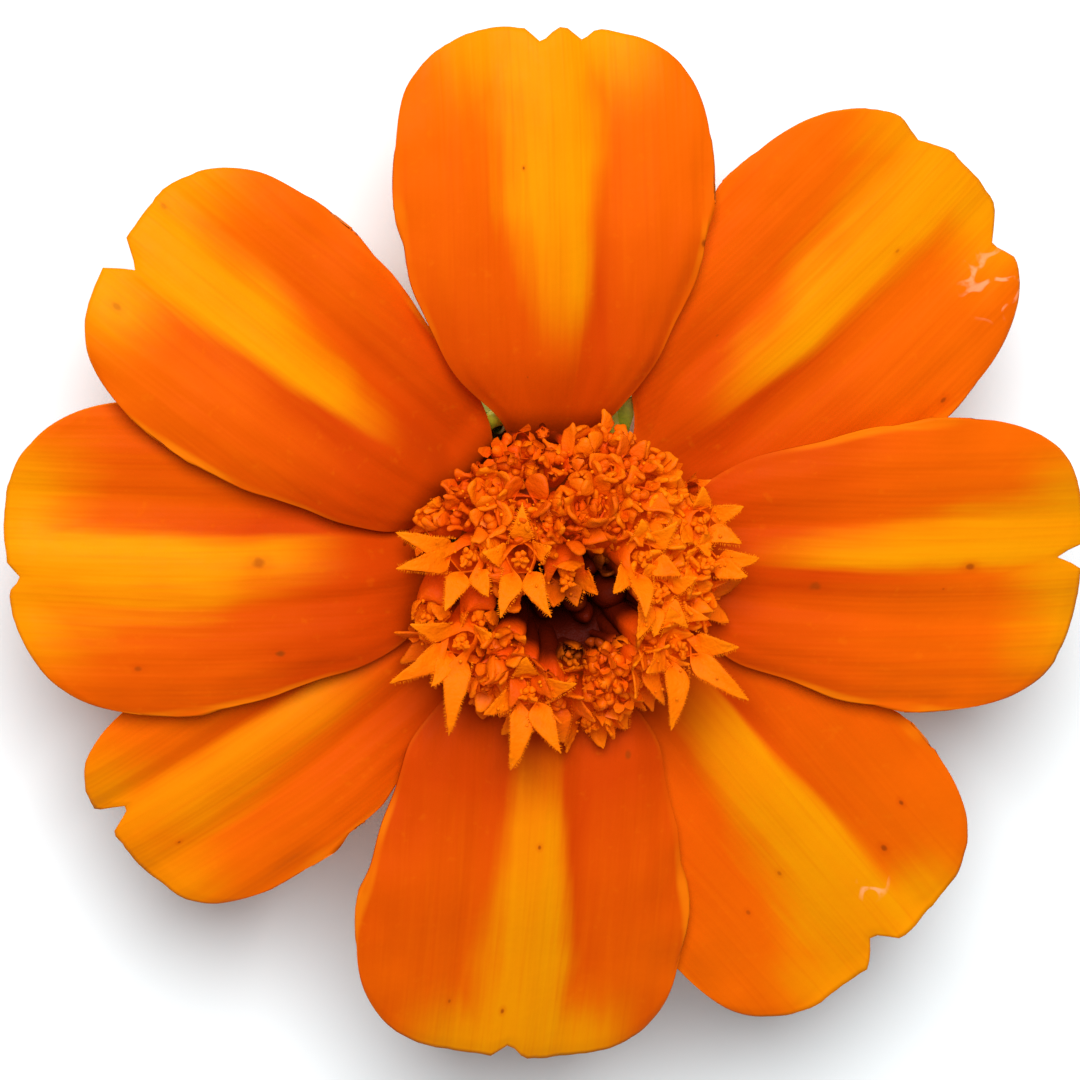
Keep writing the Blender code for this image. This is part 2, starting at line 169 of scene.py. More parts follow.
# Where knobs are heaped up, how many make a heap and how far each is turned from the last, the
# anthers of a floret, and the grains of pollen.
HEAPS = (Vector((1.75, -3.95, 18.9)), Vector((1.8, -5.2, 18.2)), Vector((-2.3, 5.5, 17.3)))
HEAP_KNOBS, HEAP_TURN = 16, 2.4
ANTHERS, GRAINS = 6, 420

# The closed buds in the hollow as (place, half width, half height, grooves, grown, tone).
BUDS = (
    ((0.35, -1.15, 18.0), 0.66, 1.1, 0.05, 0.50, 0.5),
    ((2.0, -0.95, 17.6), 0.95, 1.3, 0.06, 0.34, 0.2),
    ((-0.9, -1.7, 17.0), 0.60, 1.2, 0.05, 0.26, 0.2),
    ((0.9, -2.0, 17.2), 0.55, 1.2, 0.05, 0.26, 0.2),
    ((1.1, 0.3, 17.2), 0.55, 1.2, 0.05, 0.26, 0.2),
)
BUD_CUTS = (10, 7)

# Where the painted wet glints lie, and how far the head and the spiral of florets reach.
GLINT_SPOT = Vector((4.5, 2.7, 20.5))
HEAD_RADIUS, SPREAD_RADIUS = 6.9, 6.75
# Lobes that spread by more degrees than this are wide open, and a floret that leans by more
# hangs over the side.
WIDE = 60

# The width of a lobe from its foot to its tip.
STAR = (1.0, 1.00, 0.84, 0.60, 0.34, 0.03)
POINTED = (1.0, 1.02, 0.88, 0.66, 0.40, 0.06)
BLUNT = (1.0, 1.06, 1.10, 1.02, 0.80, 0.38)


class Star(NamedTuple):
    """A wide open floret that shows on top of the head: the middle of its mouth, its height,
    and its five lobes as (compass angle, length). It leans by that angle towards the heading,
    and its lobes bend away from its axis up to the spread."""

    x: float
    y: float
    z: float
    throat: float
    lobes: tuple
    lean: float = 14
    heading: float = -1
    spread: float = 90


STARS = (
    Star(-2.7, 1.75, 20.6, 0.80, ((88, 2.2), (168, 1.4), (250, 2.6), (298, 2.7), (20, 1.1))),
    Star(-5.0, 1.75, 19.9, 0.85, ((158, 3.3), (184, 3.2), (245, 2.3), (300, 1.6), (40, 0.9))),
    Star(-5.2, -2.4, 19.3, 0.85, ((208, 3.5), (234, 2.2), (262, 4.2), (155, 2.2), (20, 1.0))),
    Star(-2.2, -4.9, 19.6, 0.85, ((259, 3.6), (300, 2.9), (200, 1.9), (95, 1.7), (15, 1.9))),
    Star(2.9, 1.5, 20.7, 0.85, ((95, 1.6), (45, 1.9), (222, 1.6), (262, 2.4), (335, 1.6))),
    Star(3.7, -0.3, 20.4, 0.80, ((232, 2.1), (262, 1.6), (310, 1.9), (20, 1.6), (110, 1.2))),
    Star(4.8, -3.0, 19.9, 0.90, ((320, 3.9), (358, 2.4), (262, 3.6), (205, 1.7), (110, 1.9))),
    Star(6.3, 0.6, 18.9, 0.75, ((2, 2.2), (340, 1.8), (95, 1.3), (215, 1.0), (150, 0.9))),
    Star(6.0, 2.5, 18.9, 0.75, ((330, 1.9), (20, 1.8), (85, 1.3), (215, 1.1), (280, 1.2))),
    Star(-0.4, 0.55, 19.6, 0.98, ((200, 1.3), (250, 1.4), (290, 1.4), (330, 1.4), (90, 0.8)), 42, 275, 34),
    Star(1.2, -7.1, 17.0, 0.95, ((215, 1.5), (250, 1.8), (290, 1.9), (330, 1.6), (80, 1.1)), 68, 283, 26),
    Star(2.5, -6.5, 17.3, 0.90, ((225, 1.3), (270, 1.6), (300, 1.7), (345, 1.4), (90, 1.0)), 66, 305, 22),
    Star(0.0, -3.7, 18.5, 0.72, ((75, 1.2), (150, 0.9), (210, 1.0), (280, 1.1), (0, 1.0)), 10, 80, -25),
    Star(-6.4, -1.1, 18.3, 0.88, ((160, 0.9), (210, 1.1), (245, 1.2), (285, 1.0), (60, 0.8)), 72, 247, 6),
    Star(-4.3, -1.4, 18.8, 0.88, ((170, 0.9), (225, 1.1), (265, 1.3), (305, 1.1), (70, 0.8)), 72, 268, 8),
)


def curve_through(points, place):
    """A smooth, never overshooting height through (place, height) points."""
    if place <= points[0][0]:
        return points[0][1]
    if place >= points[-1][0]:
        return points[-1][1]
    slopes = [(b[1] - a[1]) / (b[0] - a[0]) for a, b in zip(points, points[1:])]
    lean = [slopes[0]]
    for one, two in zip(slopes, slopes[1:]):
        lean.append(0.0 if one * two <= 0 else 2 * one * two / (one + two))
    lean.append(slopes[-1])
    for index, (low, high) in enumerate(zip(points, points[1:])):
        if place <= high[0]:
            span = high[0] - low[0]
            t = (place - low[0]) / span
            return (low[1] * (1 + 2 * t) * (1 - t) ** 2 + high[1] * t * t * (3 - 2 * t)
                    + span * lean[index] * t * (1 - t) ** 2 - span * lean[index + 1] * t * t * (1 - t))
    return points[-1][1]


def ease(low, high, value):
    t = min(1.0, max(0.0, (value - low) / (high - low)))
    return t * t * (3 - 2 * t)


def ripple_at(*place):
    return noise.noise(Vector(place))


def bell(offset, reach):
    """1 at offset 0, falling to nothing past reach on both sides."""
    return math.exp(-(offset / reach) ** 2)


def compass(angle):
    """The level direction at that angle from +X, counter-clockwise."""
    return Vector((math.cos(angle), math.sin(angle), 0))


def nudge(rng, reach, low=0.0, high=0.0):
    """A small random shift, up to reach sideways and between low and high upwards."""
    sideways = rng.uniform(-reach, reach), rng.uniform(-reach, reach)
    return Vector((*sideways, rng.uniform(low, high) if high > low else 0.0))


# ---------------------------------------------------------------- finishes


class Wire:
    """A socket that takes part in sums, so a mask reads as a formula."""

    def __init__(self, finish, socket):
        self.finish, self.socket = finish, socket

    def _sum(self, operation, *values):
        return self.finish.node("ShaderNodeMath", {"operation": operation}, dict(enumerate(values)))

    def __add__(self, other):
        return self._sum("ADD", self, other)

    def __sub__(self, other):
        return self._sum("SUBTRACT", self, other)

    def __mul__(self, other):
        return self._sum("MULTIPLY", self, other)

    def __truediv__(self, other):
        return self._sum("DIVIDE", self, other)

    def __rsub__(self, other):
        return self._sum("SUBTRACT", other, self)

    def __rtruediv__(self, other):
        return self._sum("DIVIDE", other, self)

    __radd__, __rmul__ = __add__, __mul__

    def __pow__(self, other):
        return self._sum("POWER", self, other)

    def larger(self, other):
        return self._sum("MAXIMUM", self, other)

    def ease(self, low, high):
        """0 below low, 1 above high, smooth between. Low may be the larger one."""
        return self.finish.node("ShaderNodeMapRange", {"interpolation_type": "SMOOTHSTEP"},
                                {"Value": self, "From Min": low, "From Max": high})


class Finish:
    """A material under construction."""

    def __init__(self, name):
        self.material = bpy.data.materials.new(name)
        self.material.use_nodes = True
        self.tree = self.material.node_tree
        self.tree.nodes.clear()
        self.output = self.tree.nodes.new("ShaderNodeOutputMaterial")

    def node(self, kind, settings=None, inputs=None, output=0):
        made = self.tree.nodes.new(kind)
        for key, value in (settings or {}).items():
            setattr(made, key, value)
        for key, value in (inputs or {}).items():
            if isinstance(value, Wire):
                self.tree.links.new(value.socket, made.inputs[key])
            else:
                made.inputs[key].default_value = value
        return Wire(self, made.outputs[output])

    def blend(self, low, high, amount):
        """The colour low where amount is 0 or less and high where it is 1 or more."""
        return self.node("ShaderNodeMix", {"data_type": "RGBA", "clamp_factor": True},
                         {0: amount, 6: low, 7: high}, 2)

    def place(self):
        return self.node("ShaderNodeTexCoord", output="Object")

    def cloud(self, where, scale, detail=3.0, roughness=0.5):
        """Soft noise with a mean of about one half."""
        return self.node("ShaderNodeTexNoise", None,
                         {"Vector": where, "Scale": scale, "Detail": detail, "Roughness": roughness},
                         "Fac")

    def vector(self, operation, first, second, output=0):
        return self.node("ShaderNodeVectorMath", {"operation": operation}, {0: first, 1: second}, output)

    def stretched(self, where, sizes):
        return self.vector("MULTIPLY", where, sizes)

    def parts(self, where):
        """The three coordinates of a place."""
        split = self.node("ShaderNodeSeparateXYZ", None, {0: where})
        return [Wire(self, socket) for socket in split.socket.node.outputs]

    def flat_map(self):
        return self.node("ShaderNodeUVMap", {"uv_map": "flat"})

    def attribute(self, name):
        return self.node("ShaderNodeAttribute", {"attribute_name": name}, output="Fac")

    def bumped(self, height, distance, strength):
        return self.node("ShaderNodeBump", None,
                         {"Height": height, "Distance": distance, "Strength": strength})

    def surface(self, colour, roughness, normal=None, coat=None, painted_glow=None, **plain):
        values = {"Base Color": colour, "Roughness": roughness}
        if painted_glow is not None:
            values.update({"Emission Color": painted_glow, "Emission Strength": 1.0})
        if normal is not None:
            values["Normal"] = normal
        if coat is not None:
            values["Coat Weight"] = coat
        values.update({key.replace("_", " ").title().replace("Ior", "IOR"): value
                       for key, value in plain.items()})
        shader = self.node("ShaderNodeBsdfPrincipled", None, values)
        self.tree.links.new(shader.socket, self.output.inputs["Surface"])
        return self.material


def petal_finish(petal, look):
    """Orange flanks, a gold band with one crisp and one soft border, a painted highlight on the band along
    its crisp border and painted crease shade on the flank beside it, a redder foot that is partly painted
    shade, a pale thin margin, faint long veins, a few brown specks and painted glints on a wrinkled tip. It
    reads the petal's flat map, in which one unit is FLAT_UNIT millimetres, and its distance to the margin."""
    finish = Finish(f"ray petal {petal.node[-1]}")
    flat = finish.flat_map()
    side, along, _ = finish.parts(flat)
    side, along = (side - 0.5) * FLAT_UNIT, along * FLAT_UNIT
    spot = finish.place()
    soft_cloud = finish.cloud(spot, 260.0, 1.0)
    fine_cloud = finish.cloud(spot, 1500.0, 2.0, 0.6)
    streak = finish.cloud(finish.stretched(flat, (75.0, 5.0, 1.0)), 1.0, 2.0, 0.55)
    vein = finish.cloud(finish.stretched(flat, (150.0, 4.0, 1.0)), 1.0, 0.0, 0.5)
    mottle, streaking = soft_cloud - 0.5, streak - 0.5

    wander = mottle * 1.3 + streaking * 0.7
    gold, edge_highlight, crease_shade, tip = band_masks(petal, side, along, wander)
    flank = finish.blend(look.flank, look.tip_flank, along.ease(13.0, petal.length))
    # Partly painted shade: the flank reddens towards the head, which is partly its own redder foot and
    # partly shade, and next to the band's crisp border, where the crease's shade is painted; redness and
    # mottle are the petal's own.
    red = along.ease(17.0, 7.5) * 0.85 + crease_shade * 0.8 + petal.redness + mottle * 0.6
    flank = finish.blend(flank, look.heel, red)
    flank = finish.blend(flank, look.tip_flank, streak.ease(0.45, 0.80) * along.ease(8.0, 16.0) * 0.22)
    band_colour = finish.blend(look.band_foot, look.band, along.ease(9.5, 19.0))
    # Painted highlight: brighter gold along the band's crisp border.
    band_colour = finish.blend(band_colour, look.band_highlight, edge_highlight * 0.6)
    colour = finish.blend(flank, band_colour, gold * (0.88 + streaking * 0.3 + mottle * 0.3))
    colour = finish.blend(colour, look.heel, vein.ease(0.56, 0.75) * 0.09)
    rim = finish.attribute("margin").ease(0.26, 0.05) * (0.10 + soft_cloud.ease(0.40, 0.65) * 0.45)
    colour = finish.blend(colour, look.rim, rim * (along.ease(8.0, 14.0) * 0.8 + 0.2))
    colour = finish.blend(colour, look.rim, fine_cloud.ease(0.60, 0.80) * 0.10)

    for radius, across, size, depth in petal.specks:
        gap = distance_to(along, radius, (side - across) * 1.5, 0.0) ** 0.5 + (fine_cloud - 0.5) * size * 0.9
        colour = finish.blend(colour, look.speck, gap.ease(size, size * 0.25) * depth)
        colour = finish.blend(colour, look.heel, gap.ease(size * 2.4, size * 0.8) * depth * 0.30)

    coat = None
    if petal.wrinkle:
        radius, across, reach, _ = petal.wrinkle
        near = distance_to(along, radius, side, across).ease(reach * reach, reach * reach * 0.15)
        fold = finish.cloud(spot, 520.0, 1.0) - 0.5
        # Painted highlight: pale glints on the wrinkled tip, where the coat also adds real gloss.
        glint = near * (fold * fold).ease(0.0012, 0.0001) * fine_cloud.ease(0.35, 0.55)
        colour = finish.blend(colour, look.glint, glint * 0.5)
        coat = glint * 0.6
    height = vein * 0.5 + finish.cloud(spot, 1900.0, 1.0) * 0.4
    return finish.surface(colour, 0.55 + (fine_cloud - 0.5) * 0.25 - tip * 0.08,
                          finish.bumped(height, 0.06 * MM, 0.55), coat,
                          coat_roughness=0.28, specular_ior_level=0.02)


def band_masks(petal, side, along, wander):
    """Where a petal is gold, where a highlight is painted on the gold along the band's crisper border, where
    the crease's shade is painted on the flank next to that border, and where its tip is."""
    band = petal.band
    run = (along - BAND_START) / BAND_RUN
    inwards_ccw = run * (band.ccw_tip - band.ccw_base) + band.ccw_base - side
    inwards_cw = side - (run * (band.cw_tip - band.cw_base) + band.cw_base)
    blur = run.larger(0.0) * 0.8 + 0.35
    gold = ((inwards_ccw / (blur * band.ccw_soft) + wander).ease(-1.0, 1.0)
            * (inwards_cw / (blur * band.cw_soft) + wander).ease(-1.0, 1.0)
            * (along + wander).ease(8.4, 13.5))
    tip = (along + wander * 1.6).ease(petal.length - 4.8, petal.length - 0.8)
    gold = gold.larger(tip * (side * side).ease(40.0, 9.0) * 0.88) * band.strength
    inwards = inwards_cw if band.cw_soft < band.ccw_soft else inwards_ccw
    # Painted highlight on the gold along the crisper border, and painted shade of the crease on the flank
    # next to it.
    edge_highlight = inwards.ease(1.5, 0.25) * gold * along.ease(9.0, 15.0)
    crease_shade = inwards.ease(-1.9, -0.15) * (1 - gold) * inwards.ease(0.2, -0.2) * along.ease(24.0, 9.0)
    return gold, edge_highlight, crease_shade, tip


def distance_to(along, radius, side, across):
    """The square of the distance to a place of the petal's flat map."""
    gap_along, gap_across = along - radius, side - across
    return gap_along * gap_along + gap_across * gap_across


def petal_back_finish(look):
    """The duller underside of a petal, with stronger ribs."""
    finish = Finish("ray petal underside")
    ribs = finish.cloud(finish.stretched(finish.flat_map(), (70.0, 2.0, 1.0)), 1.0, 3.0, 0.6)
    blot = finish.cloud(finish.place(), 320.0, 4.0)
    colour = finish.blend(look.underside, look.band_foot, ribs.ease(0.42, 0.68) * 0.55)
    colour = finish.blend(colour, look.heel, blot.ease(0.45, 0.75) * 0.35)
    return finish.surface(colour, 0.62 + (blot - 0.5) * 0.2, finish.bumped(ribs, 0.12 * MM, 0.8),
                          specular_ior_level=0.2)


def floret_finish(name, look, shine=0.0):
    """Deep red-orange tubes that brighten to yellow-orange at the lobes' tips, with painted wet glints at
    one place, painted shade at the tubes' feet, in the hollow and low between the tubes, and a painted red
    glow. The attribute grown runs from 0 at a tube's foot over 0.5 at its mouth to 1 at a tip, and tone says
    how yellow it is, with painted light on the right side of the head in it."""
    finish = Finish(name)
    spot = finish.place()
    grown, tone = finish.attribute("grown"), finish.attribute("tone")
    patch = finish.cloud(spot, 800.0, 1.0)
    grain = finish.cloud(spot, 5200.0, 2.0, 0.65)
    # Painted highlight: pale glints near one spot of the upper right florets.
    from_glint_spot = finish.vector("DISTANCE", spot, GLINT_SPOT * MM, "Value")
    painted_wet_glint = from_glint_spot.ease(1.7 * MM, 0.6 * MM) * grain.ease(0.70, 0.76)
    # Painted shade: deep is near 1 in the hollow and up to 0.7 low between the tubes, and lays the throat's
    # near-black there.
    east, north, height = finish.parts(finish.vector("SUBTRACT", spot, (HEAD_AXIS + HOLLOW) * MM))
    deep = ((east * east * 0.5 + north * north).ease((3.1 * MM) ** 2, (2.1 * MM) ** 2)
            * height.ease(20.1 * MM, 18.9 * MM)).larger(height.ease(16.9 * MM, 15.2 * MM) * 0.7)

    # Painted shade: the feet of the tubes take the throat's near-black.
    colour = finish.blend(look.throat, look.tube, grown.ease(0.12, 0.40))
    lobe = (grown + tone * 0.12 + (patch - 0.5) * 0.22).ease(0.52, 0.78) * tone
    for layer, amount in ((look.crumb, (grown + tone * 0.10).ease(0.38, 0.60)),
                          (look.lobe, lobe),
                          (look.tip, grown.ease(0.80, 1.0) * tone * 0.6),
                          (look.tube, patch.ease(0.50, 0.78) * 0.32),
                          (look.tip, grain.ease(0.58, 0.80) * tone * 0.30),
                          (look.painted_wet_glint, painted_wet_glint * 0.75),
                          (look.throat, deep * 0.95)):
        colour = finish.blend(colour, layer, amount)
    # Painted glow: an emission that stands in for red light let through thin lobes, stronger on yellower
    # florets and none in the painted shade.
    painted_glow = finish.blend((0.0, 0.0, 0.0, 1.0), look.painted_glow, (1 - deep) * (tone * 0.15 + 0.09))
    finish.material.cycles.emission_sampling = "NONE"
    return finish.surface(colour, 0.50 + (grain - 0.5) * 0.35, finish.bumped(grain, 0.08 * MM, 0.8),
                          shine, painted_glow, coat_roughness=0.25, specular_ior_level=0.03)


def cup_finish(look):
    """Fresh green with paler ribs, amber oil glands and a bleached papery rim."""
    finish = Finish("green cup")
    spot = finish.place()
    height = finish.parts(spot)[2]
    rib, gland = finish.attribute("rib"), finish.attribute("gland")
    patch = finish.cloud(spot, 420.0, 4.0, 0.6)
    grain = finish.cloud(finish.stretched(spot, (1.0, 1.0, 0.2)), 4200.0)
    colour = look.leaf
    for layer, amount in ((look.deep, patch.ease(0.35, 0.70) * 0.7),
                          (look.pale, rib * 0.45 + (grain - 0.5) * 0.3),
                          (look.pale, height.ease(10.8 * MM, 12.2 * MM) * 0.9),
                          (look.stalk, height.ease(3.0 * MM, 1.0 * MM) * 0.8),
                          (look.gland, gland * 0.85)):
        colour = finish.blend(colour, layer, amount)
    return finish.surface(colour, 0.48 + (grain - 0.5) * 0.25 - gland * 0.2,
                          finish.bumped(grain * 0.6 + patch * 0.4, 0.08 * MM, 0.7), gland * 0.35,
                          coat_roughness=0.2, specular_ior_level=0.4)


def scale_finish(look):
    """Papery scales between cup and florets, cream with a green foot."""
    finish = Finish("papery scale")
    grain = finish.cloud(finish.stretched(finish.place(), (1.0, 1.0, 0.15)), 5200.0)
    colour = finish.blend(look.leaf, look.paper, finish.attribute("grown").ease(0.35, 0.75))
    colour = finish.blend(colour, look.pale, grain * 0.5)
    return finish.surface(colour, 0.6 + (grain - 0.5) * 0.2, finish.bumped(grain, 0.06 * MM, 0.6),
                          specular_ior_level=0.3)


# ---------------------------------------------------------------- making pieces


def add_piece(name, shape, finishes, nodes):
    """Turns a finished bmesh into a piece of the head."""
    mesh = bpy.data.meshes.new(name)
    for face in shape.faces:
        face.smooth = True
    shape.to_mesh(mesh)
    shape.free()
    for finish in finishes:
        mesh.materials.append(finish)
    piece = bpy.data.objects.new(name, mesh)
    bpy.context.scene.collection.objects.link(piece)
    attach(piece, BODY)
    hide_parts(*nodes)
    return piece


def add_wall(piece, thickness, thin=1.0, second=0):
    """Gives a sheet its thickness on both sides. Where thin is below 1 the group body sets
    where it is thinner, and second counts on to the finish of its underside."""
    wall = piece.modifiers.new("Wall", "SOLIDIFY")
    wall.thickness = thickness
    wall.offset = 0.0
    wall.material_offset = second
    if thin < 1.0:
        wall.vertex_group = piece.vertex_groups.new(name="body").name
        wall.thickness_vertex_group = thin


def add_rounding(piece, levels=1):
    rounding = piece.modifiers.new("Rounding", "SUBSURF")
    rounding.levels = rounding.render_levels = levels


def add_roughness(piece, size, depth):
    """Lets fine bumps of that size stand out of the finished surface."""
    clouds = bpy.data.textures.new(piece.name + "_grain", "CLOUDS")
    clouds.noise_scale = size
    clouds.noise_depth = 1
    rough = piece.modifiers.new("Grain", "DISPLACE")
    rough.texture = clouds
    rough.texture_coords = "LOCAL"
    rough.strength = depth
    rough.mid_level = 0.5


def add_florets(name, shape, finish):
    """Adds a piece of the floret head from a shape in millimetres."""
    return add_piece(name, scaled(shape), (finish,), ("disc_florets",))


def scaled(shape):
    bmesh.ops.scale(shape, vec=(MM, MM, MM), verts=shape.verts)
    return shape


def floret_layers(shape):
    """The two attributes that a floret's finish reads: grown and tone."""
    return shape.verts.layers.float.new("grown"), shape.verts.layers.float.new("tone")


def paint(shape, grown, tone):
    layers = floret_layers(shape)
    for vert in shape.verts:
        vert[layers[0]], vert[layers[1]] = grown, tone


def gather(whole, part):
    """Adds the shape part to whole and lets go of part."""
    held = bpy.data.meshes.new("held")
    part.to_mesh(held)
    part.free()
    whole.from_mesh(held)
    bpy.data.meshes.remove(held)


# ---------------------------------------------------------------- petals


def crease_relief(across):
    """The raised rib down the middle and the gentle arch of each flank."""
    away = abs(across)
    if away < CREASE_PLACE:
        return RIB_HEIGHT * (1 + math.cos(math.pi * away / CREASE_PLACE)) / 2
    return SIDE_ARCH * math.sin(math.pi * (away - CREASE_PLACE) / (1 - CREASE_PLACE))


def blade_outline(petal, across, along):
    """A point of the blade seen from above as (out from the axis, to the side), with the half
    width of the blade there. Both arguments are shares, across from -1 to 1."""
    bend = max(0.0, (along - TIP_BEND_START) / (1 - TIP_BEND_START)) ** 1.6
    round_off = max(0.0, 1 - abs(across) ** petal.roundness) ** (1 / petal.roundness)
    cut = sum(depth / petal.length * max(0.0, 1 - abs(across - place) / half_width)
              for place, depth, half_width in petal.notches)
    near_tip = max(0.0, (along - 0.8) / 0.2)
    edge_wave = (0.0035 * ripple_at(across * 5.5, petal.azimuth, 0.3)
                 + 0.0018 * ripple_at(across * 17, petal.azimuth, 4.1))
    share = (along - (1 - SHOULDER) * (1 - round_off) * bend
             + (petal.skew * across - cut + edge_wave) * near_tip)
    margin_share = along - (1 - SHOULDER) * bend
    margin_ripple = ripple_at(along * 14, petal.azimuth, 9 * math.copysign(1, across))
    wave = 1 + (petal.ripple * math.sin(21 * along + petal.azimuth) * abs(across) ** 3
                + 0.007 * margin_ripple * abs(across) ** 4)
    half_width, waist = ((petal.ccw_width, petal.waists[0]) if across > 0
                         else (petal.cw_width, petal.waists[1]))
    reach = half_width * (curve_through(BLADE_WIDTHS, margin_share)
                          + petal.heel * bell(margin_share - HEEL_PLACE, HEEL_REACH)
                          - waist * bell(margin_share - WAIST_PLACE, WAIST_REACH))
    return share * petal.length, across * reach * wave, reach


def blade_height(petal, across, along, radius, sideways, vein_height):
    """How high the blade lies: its line, its lift over a neighbour, and its folds and waves."""
    turned = ease(-TIP_ANGLE, TIP_ANGLE, math.atan2(sideways, radius))
    side = petal.cw_lift + (petal.ccw_lift - petal.cw_lift) * turned
    lift = side * OVERLAP_LIFT * ease(*LIFT_RADII, radius)
    opened = ease(0.22, 0.40, along)
    sag = petal.droop * max(0.0, (radius / petal.length - 0.4) / 0.6) ** 2
    place = Vector((radius, sideways, petal.azimuth))
    swell = 0.15 * ripple_at(*(place * 0.17))
    margin_wave = 0.22 * ripple_at(*(place * 0.42 + UP * 5)) * ease(0.55, 1.0, abs(across))
    veins = vein_height * math.sin(across * 34 + 1.3 * ripple_at(along * 3, across * 2, petal.azimuth))
    crease = sum(-0.10 * bell(sideways - line, 0.45) * ease(8.0, 12.0, radius)
                 for line in fold_lines(petal, radius))
    puckers = 0.0
    if petal.wrinkle:
        centre, to_side, size, height = petal.wrinkle
        near = math.exp(-((radius - centre) ** 2 + (sideways - to_side) ** 2) / size ** 2)
        puckers = height * near * ripple_at(radius * 0.9, sideways * 1.5, 2.0)
    return (curve_through(BLADE_LINE, radius) + lift - sag + crease + puckers
            + (crease_relief(across) + swell + margin_wave + veins) * opened)


def fold_lines(petal, radius):
    """Where the petal creases: along the crisper borders of its gold band."""
    run = (radius - BAND_START) / BAND_RUN
    band = petal.band
    borders = ((band.ccw_soft, band.ccw_base, band.ccw_tip), (band.cw_soft, band.cw_base, band.cw_tip))
    return [base + (tip - base) * run for soft, base, tip in borders if soft < CRISP]


def petal_shape(petal, look):
    """The petal as one bent sheet, from the claw in the cup to the notched tip."""
    shape = bmesh.new()
    flat = shape.loops.layers.uv.new("flat")
    margin_layer = shape.verts.layers.float.new("margin")
    groups = shape.verts.layers.deform.verify()
    bmesh.ops.create_grid(shape, x_segments=PETAL_COLUMNS, y_segments=PETAL_ROWS, size=1.0)
    spread = {}
    first = BLADE_START / petal.length
    claw_rows = len(CLAW_LINE)
    for vert in shape.verts:
        across = math.sin(vert.co.x * math.pi / 2)
        row = round((vert.co.y + 1) / 2 * PETAL_ROWS)
        if row < claw_rows:
            radius, height = CLAW_LINE[row]
            sideways, margin = across * CLAW_HALF_WIDTH, 1.0
        else:
            share = (row - claw_rows) / (PETAL_ROWS - claw_rows)
            along = first + (1 - first) * share ** 0.9
            radius, sideways, reach = blade_outline(petal, across, along)
            height = blade_height(petal, across, along, radius, sideways, look.vein_height)
            margin = min((1 - abs(across)) * reach, (1 - along) * petal.length * 1.1)
        spread[vert] = (0.5 + sideways / FLAT_UNIT, radius / FLAT_UNIT)
        vert[margin_layer] = margin
        vert[groups][0] = min(1.0, 0.35 + margin * 0.9)
        vert.co = (radius, sideways, height)
    for face in shape.faces:
        for loop in face.loops:
            loop[flat].uv = spread[loop.vert]
    bmesh.ops.reverse_faces(shape, faces=shape.faces)
    return shape


def fit_petal(shape, petal):
    """Turns the sheet to its compass angle and matches its reach to the frame's petal."""
    turned = math.radians(petal.azimuth)
    wanted = max(vert.co.dot(compass(turned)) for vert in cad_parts[petal.node].data.vertices)
    fit = wanted / max(vert.co.x for vert in shape.verts)
    bmesh.ops.transform(shape, matrix=Matrix.Rotation(turned, 4, "Z") @ Matrix.Diagonal((fit, fit, MM, 1)),
                        verts=shape.verts)


# ---------------------------------------------------------------- florets

TUBE_ROWS, LOBE_ROWS, FLORET_COLUMNS = 6, 5, 10
LOBE_WIDTH = 0.78
LOBE_SWAY = math.radians(16)
LOBE_STEPS = 8


class Floret(NamedTuple):
    """A tubular floret: where it stands, where its mouth opens and which way, and its lobes as (direction,
    length). The lobes start at the first angle from its axis and end at the second one. Taper is their
    outline, crumple is how far they are crushed, and tone how yellow they are, which on the right side of
    the head holds painted light."""

    foot: Vector
    mouth: Vector
    axis: Vector
    throat: float
    lobes: tuple
    angles: tuple
    taper: tuple
    crumple: float
    tone: float
    hairy: bool


def turned_frame(axis, towards):
    """Two directions square to axis, the first one as near to towards as it can be."""
    first = (towards - axis * towards.dot(axis)).normalized()
    return first, axis.cross(first)


def lobe_line(floret, index, share):
    """The middle of a lobe at that share of its length, with its own up and forward."""
    direction, length = floret.lobes[index]
    direction, _ = turned_frame(floret.axis, direction)
    start, end = floret.angles
    end += LOBE_SWAY * math.sin(2.4 * index + 3 * floret.mouth.x)

    def forward_at(part):
        angle = start + (end - start) * part ** 0.7
        return floret.axis * math.cos(angle) + direction * math.sin(angle), angle

    place = floret.mouth + direction * floret.throat * math.cos(math.pi / 5)
    for step in range(LOBE_STEPS):
        forward, _ = forward_at(share * (step + 0.5) / LOBE_STEPS)
        place = place + forward * (length * share / LOBE_STEPS)
    forward, angle = forward_at(share)
    return place, forward, floret.axis * math.sin(angle) - direction * math.cos(angle)


def tube_point(floret, share, angle, first, second):
    """A point of the tube, from its foot at 0 to its mouth at 1."""
    length = (floret.mouth - floret.foot).length
    pull = floret.mouth - floret.axis * length * 0.5
    centre = floret.foot * (1 - share) ** 2 + pull * 2 * share * (1 - share) + floret.mouth * share ** 2
    narrow = floret.throat * 0.46
    wide = narrow + (floret.throat - narrow) * ease(0.35, 1.0, share) ** 1.1
    ribbed = wide * (1 + 0.07 * math.cos(5 * angle))
    return centre + (first * math.cos(angle) + second * math.sin(angle)) * ribbed


def taper_at(taper, share):
    """The width of a lobe at that share of its length, against its width at the mouth."""
    spot = share * (len(taper) - 1)
    low = min(int(spot), len(taper) - 2)
    return taper[low] + (taper[low + 1] - taper[low]) * (spot - low)


